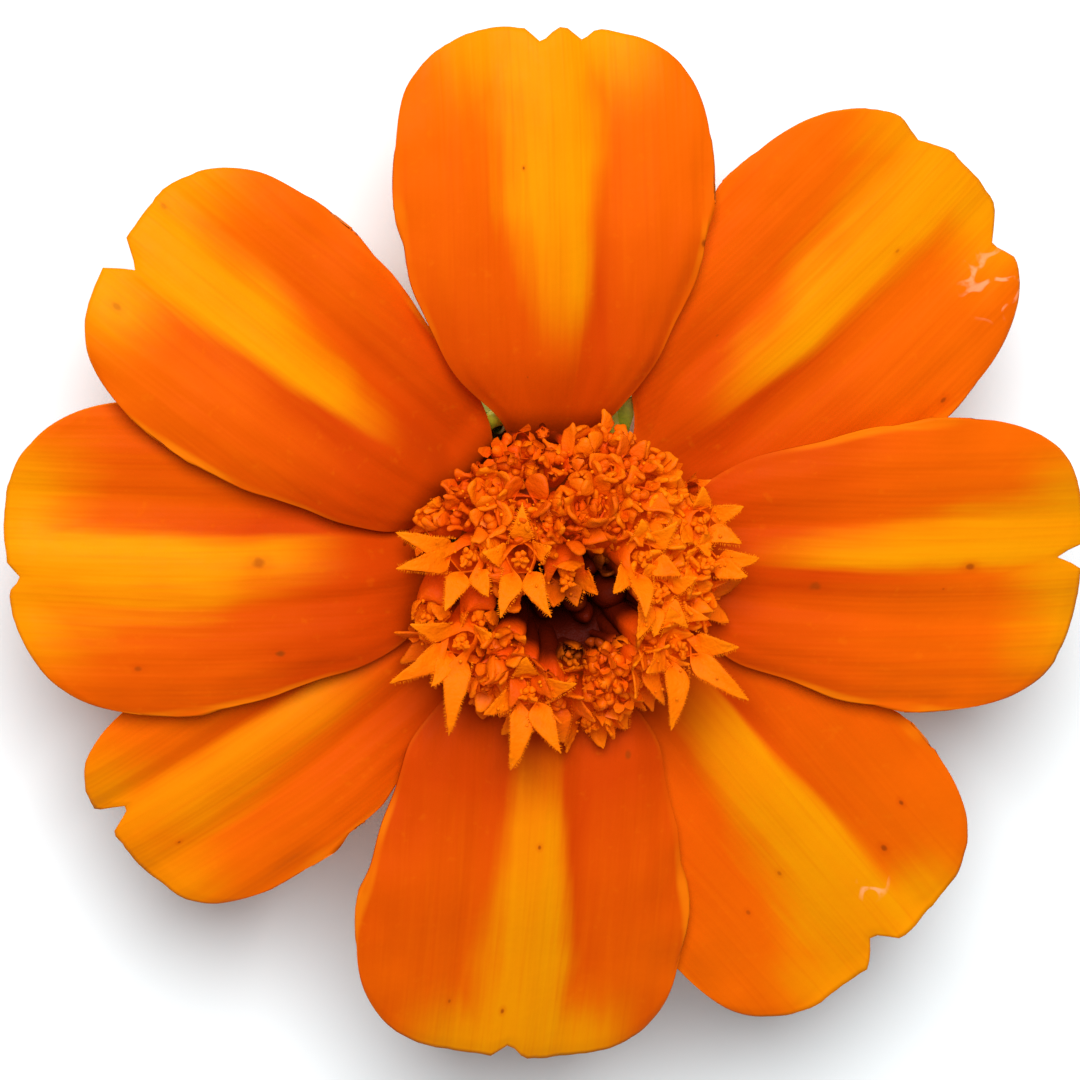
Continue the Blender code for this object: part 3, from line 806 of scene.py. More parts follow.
def floret_shape(floret, tube_rows=TUBE_ROWS, lobe_rows=LOBE_ROWS):
    """One floret from a single sheet: its lower rows roll into the tube, and its upper rows
    are torn into five lobes."""
    shape = bmesh.new()
    grown_layer, tone_layer = floret_layers(shape)
    rows = tube_rows + lobe_rows
    bmesh.ops.create_grid(shape, x_segments=FLORET_COLUMNS, y_segments=rows, size=1.0)

    def column(vert):
        return round((vert.co.x + 1) / 2 * FLORET_COLUMNS)

    def row(vert):
        return round((vert.co.y + 1) / 2 * rows)

    torn = [edge for edge in shape.edges
            if all(column(vert) % 2 == 0 and row(vert) >= tube_rows for vert in edge.verts)
            and column(edge.verts[0]) == column(edge.verts[1])
            and len(edge.link_faces) == 2]
    bmesh.ops.split_edges(shape, edges=torn)

    first, second = turned_frame(floret.axis, floret.lobes[0][0])
    places = {}
    for vert in shape.verts:
        here, level = column(vert), row(vert)
        if level <= tube_rows:
            angle = math.tau * (here - 1) / FLORET_COLUMNS
            places[vert] = (tube_point(floret, level / tube_rows, angle, first, second),
                            0.5 * level / tube_rows)
            continue
        middle = vert.link_faces[0].calc_center_median().x
        index = min(4, int((middle + 1) / 2 * 5))
        share = (level - tube_rows) / lobe_rows
        place, forward, up = lobe_line(floret, index, share)
        across = here - 2 * index - 1
        half = floret.throat * LOBE_WIDTH * taper_at(floret.taper, share)
        place = place + up.cross(forward) * (-across * half) + up * ((abs(across) - 0.6) * half * 0.22)
        places[vert] = (place, 0.5 + 0.5 * share)
    for vert, (place, grown) in places.items():
        shift = noise.noise_vector(place * 1.1) * floret.crumple * ease(0.2, 0.6, grown)
        shift += noise.noise_vector(place * 2.6) * floret.crumple * 0.5 * ease(0.4, 0.7, grown)
        vert.co = place + shift
        vert[grown_layer] = grown
        vert[tone_layer] = floret.tone
    bmesh.ops.remove_doubles(shape, verts=shape.verts, dist=1e-4)
    bmesh.ops.recalc_face_normals(shape, faces=shape.faces)
    return shape


class Hair(NamedTuple):
    """The size of the fringe's teeth and the distance between them, in millimetres."""

    length: float
    spacing: float
    width: float


def hair_shape(floret, hair, rng):
    """The fringe of fine teeth along both margins of every lobe."""
    shape = bmesh.new()
    for index, (_, length) in enumerate(floret.lobes):
        count = max(3, int(length / hair.spacing))
        for step in range(count):
            for across in (-1, 1):
                share = 0.12 + 0.82 * (step + rng.random() * 0.7) / count
                place, forward, up = lobe_line(floret, index, share)
                half = floret.throat * LOBE_WIDTH * taper_at(floret.taper, share)
                sideways = up.cross(forward) * -across
                place = place + sideways * (half * 0.90) + up * (half * 0.12)
                point = sideways + forward * rng.uniform(0.1, 0.9) + up * rng.uniform(-0.3, 0.5)
                point.normalize()
                tall = hair.length * rng.uniform(0.6, 1.25)
                turn = UP.rotation_difference(point).to_matrix().to_4x4()
                bmesh.ops.create_cone(shape, cap_ends=False, segments=3, radius1=hair.width,
                                      radius2=0.004, depth=tall,
                                      matrix=Matrix.Translation(place + point * tall * 0.4) @ turn)
    paint(shape, 1.0, floret.tone)
    return shape


def lobes_round(axis, outward, turn, length, rng, longer=0.3, uneven=0.15):
    """Five evenly turned lobes, longer on the side that faces out."""
    first, second = turned_frame(axis, outward)
    lobes = []
    for index in range(5):
        angle = turn + math.tau * index / 5
        direction = first * math.cos(angle) + second * math.sin(angle)
        facing = direction.dot(outward)
        lobes.append((direction, length * (1 + longer * facing) * rng.uniform(1 - uneven, 1 + uneven)))
    return tuple(lobes)


def foot_of(mouth):
    """Where the tube that opens at mouth starts, on the core."""
    out = Vector((mouth.x, mouth.y, 0)) - HEAD_AXIS
    share = min(1.0, out.length / HEAD_RADIUS)
    return HEAD_AXIS + out * (0.62 - 0.06 * share) + UP * (13.6 - 1.2 * share)


def star_florets():
    """The wide open florets that stand out on the head."""
    florets = []
    for star in STARS:
        mouth = Vector((star.x, star.y, star.z + 0.35)) + HEAD_AXIS
        heading = math.radians(star.heading) if star.heading >= 0 else math.atan2(star.y, star.x)
        lean, spread = math.radians(star.lean), math.radians(star.spread)
        axis = UP * math.cos(lean) + compass(heading) * math.sin(lean)
        lobes = tuple((compass(math.radians(angle)), length)
                      for angle, length in sorted(star.lobes, key=lambda lobe: lobe[0] % 360))
        wide = star.spread > WIDE
        florets.append(Floret(foot_of(mouth), mouth - axis * 0.3, axis, star.throat, lobes,
                              (min(math.radians(20), abs(spread)), spread), STAR,
                              0.13, 0.9 if wide else 0.6, wide))
    return florets


def to_nearest_star(spot):
    """How far a place of the head is from the nearest star floret. One that hangs over the
    side takes up the room before its mouth."""
    near = 99.0
    for star in STARS:
        hanging = 1.0 if star.lean > WIDE else 0.0
        for shift in (0.0, -1.2 * hanging):
            centre = Vector((star.x, star.y, 0)) + compass(math.radians(star.heading)) * shift
            near = min(near, (spot - centre).length - 0.35 * hanging)
    return near


def in_hollow(spot, grown=0.0):
    """Whether a place of the head lies over the hollow, let out all round by grown."""
    away = spot - HOLLOW
    return (away.x / (HOLLOW_HALF_LENGTH + grown)) ** 2 + (away.y / (HOLLOW_HALF_WIDTH + grown)) ** 2 < 1


def over_gap(spot):
    """Whether a place of the head would hide one of the open gaps between the petals."""
    azimuth = math.degrees(math.atan2(spot.y, spot.x))
    return spot.length > 6.5 and any(abs(azimuth - gap) < 6.0 for gap in OPEN_GAPS)


def near_heap(spot, reach):
    return any((spot - Vector((heap.x, heap.y, 0))).length < reach for heap in HEAPS)


def brightness_at(azimuth, rng):
    """How yellow a floret is: at random, and lighter on the right side of the head, which is painted light.
    """
    # Painted light: florets on the right side of the head are made yellower, as that side is lit more.
    painted_right_light = 0.38 * ease(0.2, 0.9, math.cos(azimuth + 0.15))
    return min(1.0, max(0.05, rng.uniform(0.15, 0.65) + painted_right_light))


def spread_florets(count, rng):
    """The rest of the head on a golden-angle spiral: mostly half-closed and crumpled on the
    upper side, open and pointed on the lower and right sides, none over the hollow."""
    florets = []
    for index in range(count):
        radius = SPREAD_RADIUS * math.sqrt((index + 0.6) / count)
        azimuth = index * GOLDEN_ANGLE
        outward = compass(azimuth)
        spot = outward * radius
        near_star = to_nearest_star(spot)
        if in_hollow(spot) or near_heap(spot, 1.3) or over_gap(spot) or near_star < 0.95:
            continue
        lean = OUTER_LEAN * (radius / HEAD_RADIUS) ** 1.3 + rng.uniform(-0.12, 0.12)
        axis = (UP * math.cos(lean) + outward * math.sin(lean) + nudge(rng, 0.12)).normalized()
        mouth = HEAD_AXIS + spot + UP * (curve_through(MOUTH_HEIGHTS, radius) + rng.uniform(-0.5, 0.25)
                                         - 0.8 * ease(2.3, 1.3, near_star))
        upper = 0.45 + 0.55 * ease(-0.6, 0.3, math.sin(azimuth) + rng.uniform(-0.3, 0.3))
        turn = rng.uniform(0, math.tau)
        if rng.random() < upper:
            length = rng.uniform(0.8, 1.25)
            ends = rng.uniform(-70, -20), rng.uniform(0, 50), rng.uniform(20, 80)
            end = math.radians(rng.choice(ends))
            florets.append(Floret(foot_of(mouth), mouth, axis, rng.uniform(0.52, 0.74),
                                  lobes_round(axis, outward, turn, length, rng, 0.1, 0.35),
                                  (math.radians(rng.uniform(10, 35)), end), rng.choice((BLUNT, POINTED)),
                                  rng.uniform(0.26, 0.48), brightness_at(azimuth, rng), False))
        else:
            opened = rng.uniform(0.25, 0.8)
            florets.append(Floret(foot_of(mouth), mouth, axis, rng.uniform(0.60, 0.80),
                                  lobes_round(axis, outward, turn, 1.1 + 0.9 * opened, rng),
                                  (math.radians(12), math.radians(15 + 70 * opened)), POINTED,
                                  0.10, brightness_at(azimuth, rng), opened > 0.45))
    return florets


def lump(shape, place, axis, size, grooves, grown, tone, rng, cuts=(8, 6)):
    """A closed bud or a crumpled knob: a round with five grooves, drawn out along axis."""
    part = bmesh.new()
    grown_layer, tone_layer = floret_layers(part)
    bmesh.ops.create_uvsphere(part, u_segments=cuts[0], v_segments=cuts[1], radius=1.0)
    turn = UP.rotation_difference(axis).to_matrix()
    shift = Vector((rng.uniform(0, 50), rng.uniform(0, 50), 0))
    for vert in part.verts:
        angle = math.atan2(vert.co.y, vert.co.x)
        squeeze = 1 - grooves * (0.5 + 0.5 * math.cos(5 * angle)) * (1 - vert.co.z ** 2)
        squeeze += 0.42 * noise.noise(vert.co * 1.3 + shift)
        # Painted shade: grown falls towards a lump's underside, darkening it there.
        vert[grown_layer] = grown + 0.15 * vert.co.z
        vert[tone_layer] = tone
        sizes = (size.x * squeeze, size.y * squeeze, size.z)
        vert.co = place + turn @ Vector([reach * along for reach, along in zip(sizes, vert.co)])
    gather(shape, part)


def core_shape():
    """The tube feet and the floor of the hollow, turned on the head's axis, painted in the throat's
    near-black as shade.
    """
    shape = bmesh.new()
    profile = ((0.02, 5.3), (2.9, 5.3), (3.0, 9.0), (3.3, 12.0), (3.9, 13.6), (4.5, 15.0), (4.9, 16.2),
               (4.5, 17.3), (3.6, 17.6), (2.7, 16.8), (2.0, 15.4), (1.0, 14.6), (0.02, 14.4))
    line = [shape.verts.new((radius, 0, height)) for radius, height in profile]
    edges = [shape.edges.new(pair) for pair in zip(line, line[1:])]
    bmesh.ops.spin(shape, geom=line + edges, cent=(0, 0, 0), axis=(0, 0, 1), angle=math.tau,
                   steps=48, use_merge=True, use_duplicate=False)
    bmesh.ops.remove_doubles(shape, verts=shape.verts, dist=0.03)
    bmesh.ops.recalc_face_normals(shape, faces=shape.faces)
    for vert in shape.verts:
        angle = math.atan2(vert.co.y, vert.co.x)
        furrow = 1 + 0.05 * math.cos(16 * angle) + 0.05 * noise.noise(vert.co * 0.9)
        vert.co = Vector((vert.co.x * furrow, vert.co.y * furrow, vert.co.z)) + HEAD_AXIS
    # Painted shade: the whole core takes the near-black of the throat.
    paint(shape, 0.02, 0.3)
    return shape


def crown_shape(mouth, outward, tone, rng):
    """A small floret of few faces that has stayed shut or half open."""
    axis = nudge(rng, 0.6) + UP + outward * 0.5
    throat, length = rng.uniform(0.28, 0.42), rng.uniform(0.45, 0.80)
    axis.normalize()
    floret = Floret(mouth - axis * 1.6, mouth, axis, throat,
                    lobes_round(axis, outward, rng.uniform(0, math.tau), length, rng, 0.1, 0.4),
                    (math.radians(rng.uniform(0, 40)), math.radians(rng.uniform(-80, 60))),
                    rng.choice((BLUNT, POINTED)), 0.15, tone, False)
    return floret_shape(floret, 2, 3)


def add_knob(shape, place, rng):
    """Two or three lumps at one place."""
    tone, grown = rng.uniform(0.2, 0.8), rng.uniform(0.50, 0.68)
    for _ in range(rng.randint(2, 3)):
        axis = nudge(rng, 1.0, 0.2, 1.2).normalized()
        size = rng.uniform(0.22, 0.36)
        sizes = Vector((size * rng.uniform(0.6, 1.0), size, size * rng.uniform(0.9, 1.5)))
        away = nudge(rng, 0.25, -0.2, 0.2)
        lump(shape, place + away, axis, sizes, rng.uniform(0.05, 0.30), grown, tone, rng)


def add_crowns(shape, count, rng):
    """Crumpled crowns on a golden-angle spiral, wherever the head has room for one."""
    for index in range(count):
        radius = HEAD_RADIUS * math.sqrt((index + 0.5) / count)
        azimuth = index * GOLDEN_ANGLE
        outward = compass(azimuth)
        spot = outward * radius + nudge(rng, 0.3)
        near_star = to_nearest_star(spot)
        if in_hollow(spot, 0.2) or near_heap(spot, 1.1) or over_gap(spot) or near_star < 0.9:
            continue
        drop = rng.uniform(-0.3, 0.7) + ease(2.0, 1.2, near_star)
        place = HEAD_AXIS + spot + UP * (curve_through(MOUTH_HEIGHTS, radius) - drop)
        gather(shape, crown_shape(place, outward, brightness_at(azimuth, rng), rng))


def add_heap(shape, heap, rng):
    """A dome of knobs with a crown on every second one."""
    for index in range(HEAP_KNOBS):
        tilt = math.acos(1 - 0.95 * (index + 0.5) / HEAP_KNOBS)
        out = compass(index * HEAP_TURN) * math.sin(tilt) + UP * math.cos(tilt)
        place = HEAD_AXIS + heap + out * rng.uniform(0.80, 1.05)
        add_knob(shape, place, rng)
        if index % 2:
            gather(shape, crown_shape(place + out * 0.2, out, rng.uniform(0.2, 0.6), rng))


def stamen_shape(floret, rng):
    """The anthers that fill a floret's mouth, and the two curled arms of its style."""
    shape = bmesh.new()
    bmesh.ops.create_cone(shape, cap_ends=True, segments=10, radius1=0.34, radius2=0.30, depth=1.4)
    for index in range(ANTHERS):
        angle = math.tau * index / ANTHERS + rng.uniform(-0.3, 0.3)
        spot = compass(angle) * rng.uniform(0.14, 0.38) + UP * rng.uniform(0.40, 0.75)
        bmesh.ops.create_icosphere(shape, subdivisions=1, radius=rng.uniform(0.17, 0.24),
                                   matrix=Matrix.Translation(spot))
    for side in (-1, 1):
        ring = bmesh.ops.create_circle(shape, cap_ends=False, segments=6, radius=0.12,
                                       matrix=Matrix.Translation((side * 0.10, 0, 0.75)))["verts"]
        edges = [edge for edge in shape.edges if all(end in ring for end in edge.verts)]
        bmesh.ops.spin(shape, geom=ring + edges, cent=(side * 0.28, 0, 0.75), axis=(0, side, 0),
                       angle=math.radians(120), steps=5, use_merge=False, use_duplicate=False)
    bmesh.ops.recalc_face_normals(shape, faces=shape.faces)
    grown_layer, tone_layer = floret_layers(shape)
    for vert in shape.verts:
        vert[grown_layer] = 0.60 + 0.18 * ease(0.2, 1.0, vert.co.z)
        vert[tone_layer] = 0.75
    turn = UP.rotation_difference(floret.axis).to_matrix().to_4x4()
    turn = turn @ Matrix.Rotation(rng.uniform(0, math.tau), 4, "Z")
    bmesh.ops.transform(shape, matrix=Matrix.Translation(floret.mouth) @ turn, verts=shape.verts)
    return shape


def pollen_shape(florets, rng):
    """Loose grains on the inner part of the florets' lobes."""
    shape = bmesh.new()
    for _ in range(GRAINS):
        floret = rng.choice(florets)
        index = rng.randrange(5)
        place, _, up = lobe_line(floret, index, rng.uniform(0.0, 0.6))
        size = rng.uniform(0.045, 0.10)
        place = place + up * 0.12 + nudge(rng, 0.25, -0.25, 0.25)
        bmesh.ops.create_icosphere(shape, subdivisions=1, radius=size, matrix=Matrix.Translation(place))
    paint(shape, 0.9, 0.9)
    return shape


# ---------------------------------------------------------------- cup

# The outside of the cup as (radius, height), its mesh, and the shares of the outside that are its
# foot and of the inside that are its wall.
CUP_SIDE = ((2.85, 0.0), (3.0, 0.15), (3.0, 1.4), (3.7, 2.5), (5.2, 4.3), (5.7, 6.6),
            (5.85, 9.2), (5.95, 11.9))
CUP_AROUND, CUP_OUTSIDE_ROWS, CUP_INSIDE_ROWS = 240, 64, 14
CUP_FOOT, CUP_FOOT_SHARE, CUP_WALL_SHARE = 2.9, 0.12, 0.7
CUP_RIM, CUP_WALL, CUP_INSIDE, RECEPTACLE = 11.75, 0.55, 5.35, 5.05
BRACTS, FIRST_BRACT = 8, 65.1
GLAND_HEIGHTS, GLAND_PLACE, GLAND_SIZE = (5.0, 6.6, 8.2, 9.8, 11.0), 0.22, (0.26, 0.62)
SCALES, SCALE_RADIUS, SCALE_FOOT = 24, 4.75, 9.2


class Bract(NamedTuple):
    """The bract at one angle of the cup: the place across it from -0.5 to 0.5, the height of
    the rim there, how far it is tooth, and how far that tooth leans out."""

    across: float
    rim: float
    tooth: float
    flare: float


def bract_at(angle):
    """The bract at that angle. The two under the open gaps between the petals are longer."""
    turned = (math.degrees(angle) - FIRST_BRACT) * BRACTS / 360
    number = math.floor(turned + 0.5) % BRACTS
    across = (turned + 0.5) % 1.0 - 0.5
    tooth = (1 - abs(across) * 2) ** 1.2
    rim = CUP_RIM + (2.3 if number in (0, 1) else 0.9) * tooth
    return Bract(across, rim, tooth, 1.5 if number == 0 else 0.7)


def flare_at(bract, height):
    """How far the bract leans out there, near the tip of its tooth."""
    return bract.flare * ease(11.0, 13.6, height) * bract.tooth


def gland_at(angle, bract, radius, height):
    """1 on an oil gland of the cup and 0 off it. They stand in two wavy rows on each bract."""
    gland = 0.0
    for row, middle in enumerate(GLAND_HEIGHTS):
        for side in (-GLAND_PLACE, GLAND_PLACE):
            drift = side + 0.05 * math.sin(row * 2.3 + math.floor(math.degrees(angle) / 45 + 0.05) * 1.7)
            gap = math.hypot((bract.across - drift) * math.tau / BRACTS * radius / GLAND_SIZE[0],
                             (height - middle) / GLAND_SIZE[1])
            gland = max(gland, 1 - ease(0.7, 1.1, gap))
    return gland


def cup_outside(settings, angle, share):
    """A point up the outside of the cup as (radius, height, rib, gland)."""
    bract = bract_at(angle)
    climb = (share - CUP_FOOT_SHARE) / (1 - CUP_FOOT_SHARE)
    height = bract.rim * max(0.0, climb)
    radius = CUP_FOOT * share / CUP_FOOT_SHARE
    if climb > 0:
        radius = radius_at(CUP_SIDE, height) + flare_at(bract, height)
    keel, seam = bell(bract.across, 1 / 9), bell(abs(bract.across) - 0.5, 1 / 22)
    fine = 0.5 + 0.5 * math.cos(angle * 48)
    ribbed = ease(1.6, 4.0, height)
    gland = gland_at(angle, bract, radius, height)
    radius += (settings.rib_height * (keel + 0.22 * fine - 0.7 * seam) + 0.10 * gland) * ribbed
    radius += 0.05 * ripple_at(*(compass(angle) * 2 + UP * height * 0.5)) * ease(0.3, 1.5, height)
    return radius, height, (keel + 0.35 * fine) * ribbed, gland * ribbed


def cup_inside(angle, share):
    """A point down the inside of the cup and then in over the receptacle, as cup_outside."""
    bract = bract_at(angle)
    height = bract.rim + (RECEPTACLE - bract.rim) * min(1.0, share / CUP_WALL_SHARE)
    radius = CUP_INSIDE * (1 - (share - CUP_WALL_SHARE) / (1 - CUP_WALL_SHARE))
    if share <= CUP_WALL_SHARE:
        radius = min(CUP_INSIDE, radius_at(CUP_SIDE, height) - CUP_WALL) + flare_at(bract, height)
    return radius, height, 0.4, 0.0


def cup_shape(settings):
    """The cup of eight fused bracts with the stalk's thick top, as one closed wall: up the
    outside, over the toothed rim and down the inside to the receptacle."""
    shape = bmesh.new()
    layers = [shape.verts.layers.float.new(name) for name in ("rib", "gland")]
    rows = CUP_OUTSIDE_ROWS + CUP_INSIDE_ROWS
    bmesh.ops.create_grid(shape, x_segments=CUP_AROUND, y_segments=rows, size=1.0)
    for vert in shape.verts:
        angle = (vert.co.x + 1) * math.pi
        row = round((vert.co.y + 1) / 2 * rows)
        if row <= CUP_OUTSIDE_ROWS:
            radius, height, *values = cup_outside(settings, angle, row / CUP_OUTSIDE_ROWS)
        else:
            radius, height, *values = cup_inside(angle, (row - CUP_OUTSIDE_ROWS) / CUP_INSIDE_ROWS)
        for layer, value in zip(layers, values):
            vert[layer] = value
        vert.co = compass(angle) * radius + UP * height
    bmesh.ops.remove_doubles(shape, verts=shape.verts, dist=0.002)
    bmesh.ops.recalc_face_normals(shape, faces=shape.faces)
    return shape


def radius_at(profile, height):
    """The radius of a (radius, height) profile at that height."""
    for low, high in zip(profile, profile[1:]):
        if height <= high[1]:
            return low[0] + (high[0] - low[0]) * (height - low[1]) / (high[1] - low[1])
    return profile[-1][0]


def scale_shape(rng):
    """The narrow papery scales that stand round the florets inside the cup's rim, and a broader
    green one under each open gap."""
    shape = bmesh.new()
    places = [(math.tau * (index + rng.uniform(-0.25, 0.25)) / SCALES, 0.0) for index in range(SCALES)]
    places += [(math.radians(gap), 1.0) for gap in OPEN_GAPS]
    for azimuth, opened in places:
        tall = 4.3 + 0.1 * opened + rng.uniform(-0.3, 0.3)
        part = bmesh.new()
        layer = part.verts.layers.float.new("grown")
        bmesh.ops.create_grid(part, x_segments=4, y_segments=8, size=1.0)
        out, side = compass(azimuth), compass(azimuth + math.pi / 2)
        for vert in part.verts:
            share = (vert.co.y + 1) / 2
            half = (0.42 + 0.75 * opened) * (1 - share ** (2.2 + 3 * opened)) + 0.03
            radius = (SCALE_RADIUS + 0.5 * share + share ** 3 + 1.9 * opened * share ** 2
                      - 0.10 * vert.co.x ** 2)
            vert[layer] = share * (1 - 0.5 * opened)
            vert.co = (out * radius + side * (vert.co.x * half)
                       + UP * (SCALE_FOOT + tall * share - 0.6 * share ** 4))
        gather(shape, part)
    return shape


# ---------------------------------------------------------------- what a user would change


def colour_field(name, description, value):
    return bpy.props.FloatVectorProperty(name=name, description=description, default=(*value, 1.0),
                                         size=4, subtype="COLOR", min=0.0, max=1.0)


def length_field(name, description, millimetres):
    return bpy.props.FloatProperty(name=name, description=description, default=millimetres * MM,
                                   unit="LENGTH")


class PetalLook(bpy.types.PropertyGroup):
    """Sizes and colours of the ray petals."""

    thickness: length_field("Thickness", "Thickness of a petal away from its margin", 0.34)
    vein_height: bpy.props.FloatProperty(
        name="Vein height", description="Height of the long veins in millimetres",
        default=0.018, min=0.0, max=0.2)
    flank: colour_field("Flank", "The orange on both sides of the band", (0.645, 0.080, 0.0004))
    tip_flank: colour_field("Outer flank", "The lighter orange near the tip", (0.71, 0.112, 0.0004))
    # The foot colour is partly the petal's own redder orange and partly painted shade near the head and
    # beside the band's crisp border.
    heel: colour_field("Foot", "The redder orange near the head", (0.50, 0.042, 0.0003))
    band: colour_field("Band", "The gold band", (0.715, 0.242, 0.0003))
    band_foot: colour_field("Band foot", "The gold band near the head", (0.69, 0.170, 0.0003))
    # Painted highlight on the band along its crisp border.
    band_highlight: colour_field("Band edge", "Painted highlight on the band along its crisp border", (0.745, 0.285, 0.0004))
    rim: colour_field("Margin", "The thin pale margin", (0.80, 0.20, 0.002))
    speck: colour_field("Speck", "The small brown specks", (0.20, 0.040, 0.002))
    # Painted highlight: the pale glints on a wrinkled tip.
    glint: colour_field("Tip glints", "The painted pale glints on a wrinkled tip", (0.95, 0.42, 0.22))
    underside: colour_field("Underside", "The back of a petal", (0.66, 0.125, 0.002))


class FloretLook(bpy.types.PropertyGroup):
    """Numbers and colours of the tubular florets."""

    count: bpy.props.IntProperty(
        name="Spread florets", description="Florets on the spiral, besides the wide open ones",
        default=104, min=20, max=160)
    knobs: bpy.props.IntProperty(
        name="Knobs", description="Places for crumpled knobs on the head",
        default=230, min=0, max=600)
    wall: length_field("Wall", "Thickness of tubes and lobes", 0.14)
    hair_length: length_field("Hair length", "Length of the margin hairs", 0.13)
    hair_spacing: length_field("Hair spacing", "Distance between margin hairs", 0.10)
    lobe: colour_field("Lobe", "The open lobes", (0.71, 0.150, 0.0004))
    tip: colour_field("Tip", "The lobes' tips and hairs", (0.74, 0.195, 0.0006))
    crumb: colour_field("Crumpled", "The closed and crumpled florets", (0.56, 0.050, 0.0003))
    tube: colour_field("Tube", "The floret tubes", (0.52, 0.030, 0.0003))
    # Painted shade: the near-black at the tubes' feet and in the hollow.
    throat: colour_field("Throat", "Painted shade at the feet of the tubes and in the hollow", (0.055, 0.003, 0.0003))
    # Painted glow: emitted red that stands in for light through thin lobes.
    painted_glow: colour_field("Glow", "Painted red glow for the light that thin lobes let through", (0.62, 0.050, 0.0))
    # Painted highlight: pale glints on wet florets.
    painted_wet_glint: colour_field("Wet glints", "Painted pale glints on the wet upper right florets", (0.95, 0.42, 0.16))


class CupLook(bpy.types.PropertyGroup):
    """Sizes and colours of the green cup and its papery scales."""

    rib_height: bpy.props.FloatProperty(
        name="Rib height", description="Height of a bract's keel in millimetres",
        default=0.20, min=0.0, max=0.5)
    leaf: colour_field("Green", "The cup's fresh green", (0.165, 0.26, 0.010))
    deep: colour_field("Deep green", "Darker patches", (0.06, 0.14, 0.018))
    pale: colour_field("Pale green", "Ribs and rim", (0.52, 0.50, 0.020))
    stalk: colour_field("Stalk", "The cut top of the stalk", (0.22, 0.30, 0.06))
    gland: colour_field("Gland", "The amber oil glands", (0.42, 0.16, 0.012))
    paper: colour_field("Paper", "The scales' papery tips", (0.80, 0.70, 0.32))


class StudioLook(bpy.types.PropertyGroup):
    """Camera, floor and lights."""

    key_power: bpy.props.FloatProperty(
        name="Key light", description="Power of the soft main light in watts", default=5.0, min=0.0)
    key_size: length_field("Key size", "Width of the soft main light", 340)
    sky: bpy.props.FloatProperty(
        name="Room light", description="Strength of the even light around the set",
        default=0.29, min=0.0)
    floor: colour_field("Floor", "The plain pale floor", (0.89, 0.945, 0.965))


# ---------------------------------------------------------------- operators


class MARIGOLD_OT_petals(bpy.types.Operator):
    """Makes the eight ray petals over the frame's petals"""

    bl_idname = "marigold.petals"
    bl_label = "Petals"

    def execute(self, context):
        look = context.scene.marigold_petals
        back = petal_back_finish(look)
        for petal in PETALS:
            shape = petal_shape(petal, look)
            fit_petal(shape, petal)
            piece = add_piece(petal.node.replace("petal", "ray_petal"), shape,
                              (petal_finish(petal, look), back), (petal.node,))
            add_wall(piece, look.thickness, 0.25, 1)
        return {"FINISHED"}


class MARIGOLD_OT_open_florets(bpy.types.Operator):
    """Makes the wide open star florets with their fringed lobes"""

    bl_idname = "marigold.open_florets"
    bl_label = "Open florets"

    def execute(self, context):
        look = context.scene.marigold_florets
        rng = random.Random(SEED)
        finish = floret_finish("open floret", look)
        hair = Hair(look.hair_length / MM, look.hair_spacing / MM, 0.030)
        whole, fringe = bmesh.new(), bmesh.new()
        for floret in star_florets():
            gather(whole, floret_shape(floret))
            gather(fringe, hair_shape(floret, hair, rng))
        piece = add_florets("open_florets", whole, finish)
        add_wall(piece, look.wall)
        add_rounding(piece, 2)
        add_roughness(piece, 0.16 * MM, 0.10 * MM)
        add_florets("open_floret_fringe", fringe, finish)
        return {"FINISHED"}


class MARIGOLD_OT_spread_florets(bpy.types.Operator):
    """Makes the half-open and crumpled florets that fill the head"""

    bl_idname = "marigold.spread_florets"
    bl_label = "Spread florets"

    def execute(self, context):
        look = context.scene.marigold_florets
        rng = random.Random(SEED + 1)
        finish = floret_finish("closed floret", look, 0.02)
        hair = Hair(look.hair_length / MM * 0.8, look.hair_spacing / MM * 1.5, 0.026)
        pointed, blunt, plugs, fringe = [bmesh.new() for _ in range(4)]
        for floret in spread_florets(look.count, rng):
            gather(blunt if floret.crumple > 0.15 else pointed, floret_shape(floret))
            if floret.hairy:
                gather(fringe, hair_shape(floret, hair, rng))
            for _ in range(3):
                place = floret.mouth + floret.axis * 0.25 + nudge(rng, 0.25, -0.2, 0.1)
                sizes = Vector((0.26, 0.22, 0.34)) * rng.uniform(0.8, 1.2)
                lump(plugs, place, floret.axis, sizes, 0.15, 0.56, floret.tone, rng)
        for name, shape, wall in (("pointed_florets", pointed, look.wall),
                                  ("crumpled_florets", blunt, look.wall * 1.7)):
            piece = add_florets(name, shape, finish)
            add_wall(piece, wall)
            add_rounding(piece)
            add_roughness(piece, 0.30 * MM, 0.14 * MM)
        add_roughness(add_florets("floret_anthers", plugs, finish), 0.20 * MM, 0.14 * MM)
        add_florets("pointed_floret_fringe", fringe, finish)
        return {"FINISHED"}


class MARIGOLD_OT_buds(bpy.types.Operator):
    """Makes the closed buds in the hollow and the core, painted dark as shade"""

    bl_idname = "marigold.buds"
    bl_label = "Buds and core"

    def execute(self, context):
        look = context.scene.marigold_florets
        rng = random.Random(SEED + 2)
        finish = floret_finish("bud", look)
        buds = bmesh.new()
        for place, half_width, half_height, grooves, grown, tone in BUDS:
            lump(buds, Vector(place) + HEAD_AXIS, UP, Vector((half_width, half_width, half_height)),
                 grooves, grown, tone, rng, BUD_CUTS)
        add_rounding(add_florets("hollow_buds", buds, finish))
        add_florets("floret_core", core_shape(), finish)
        return {"FINISHED"}


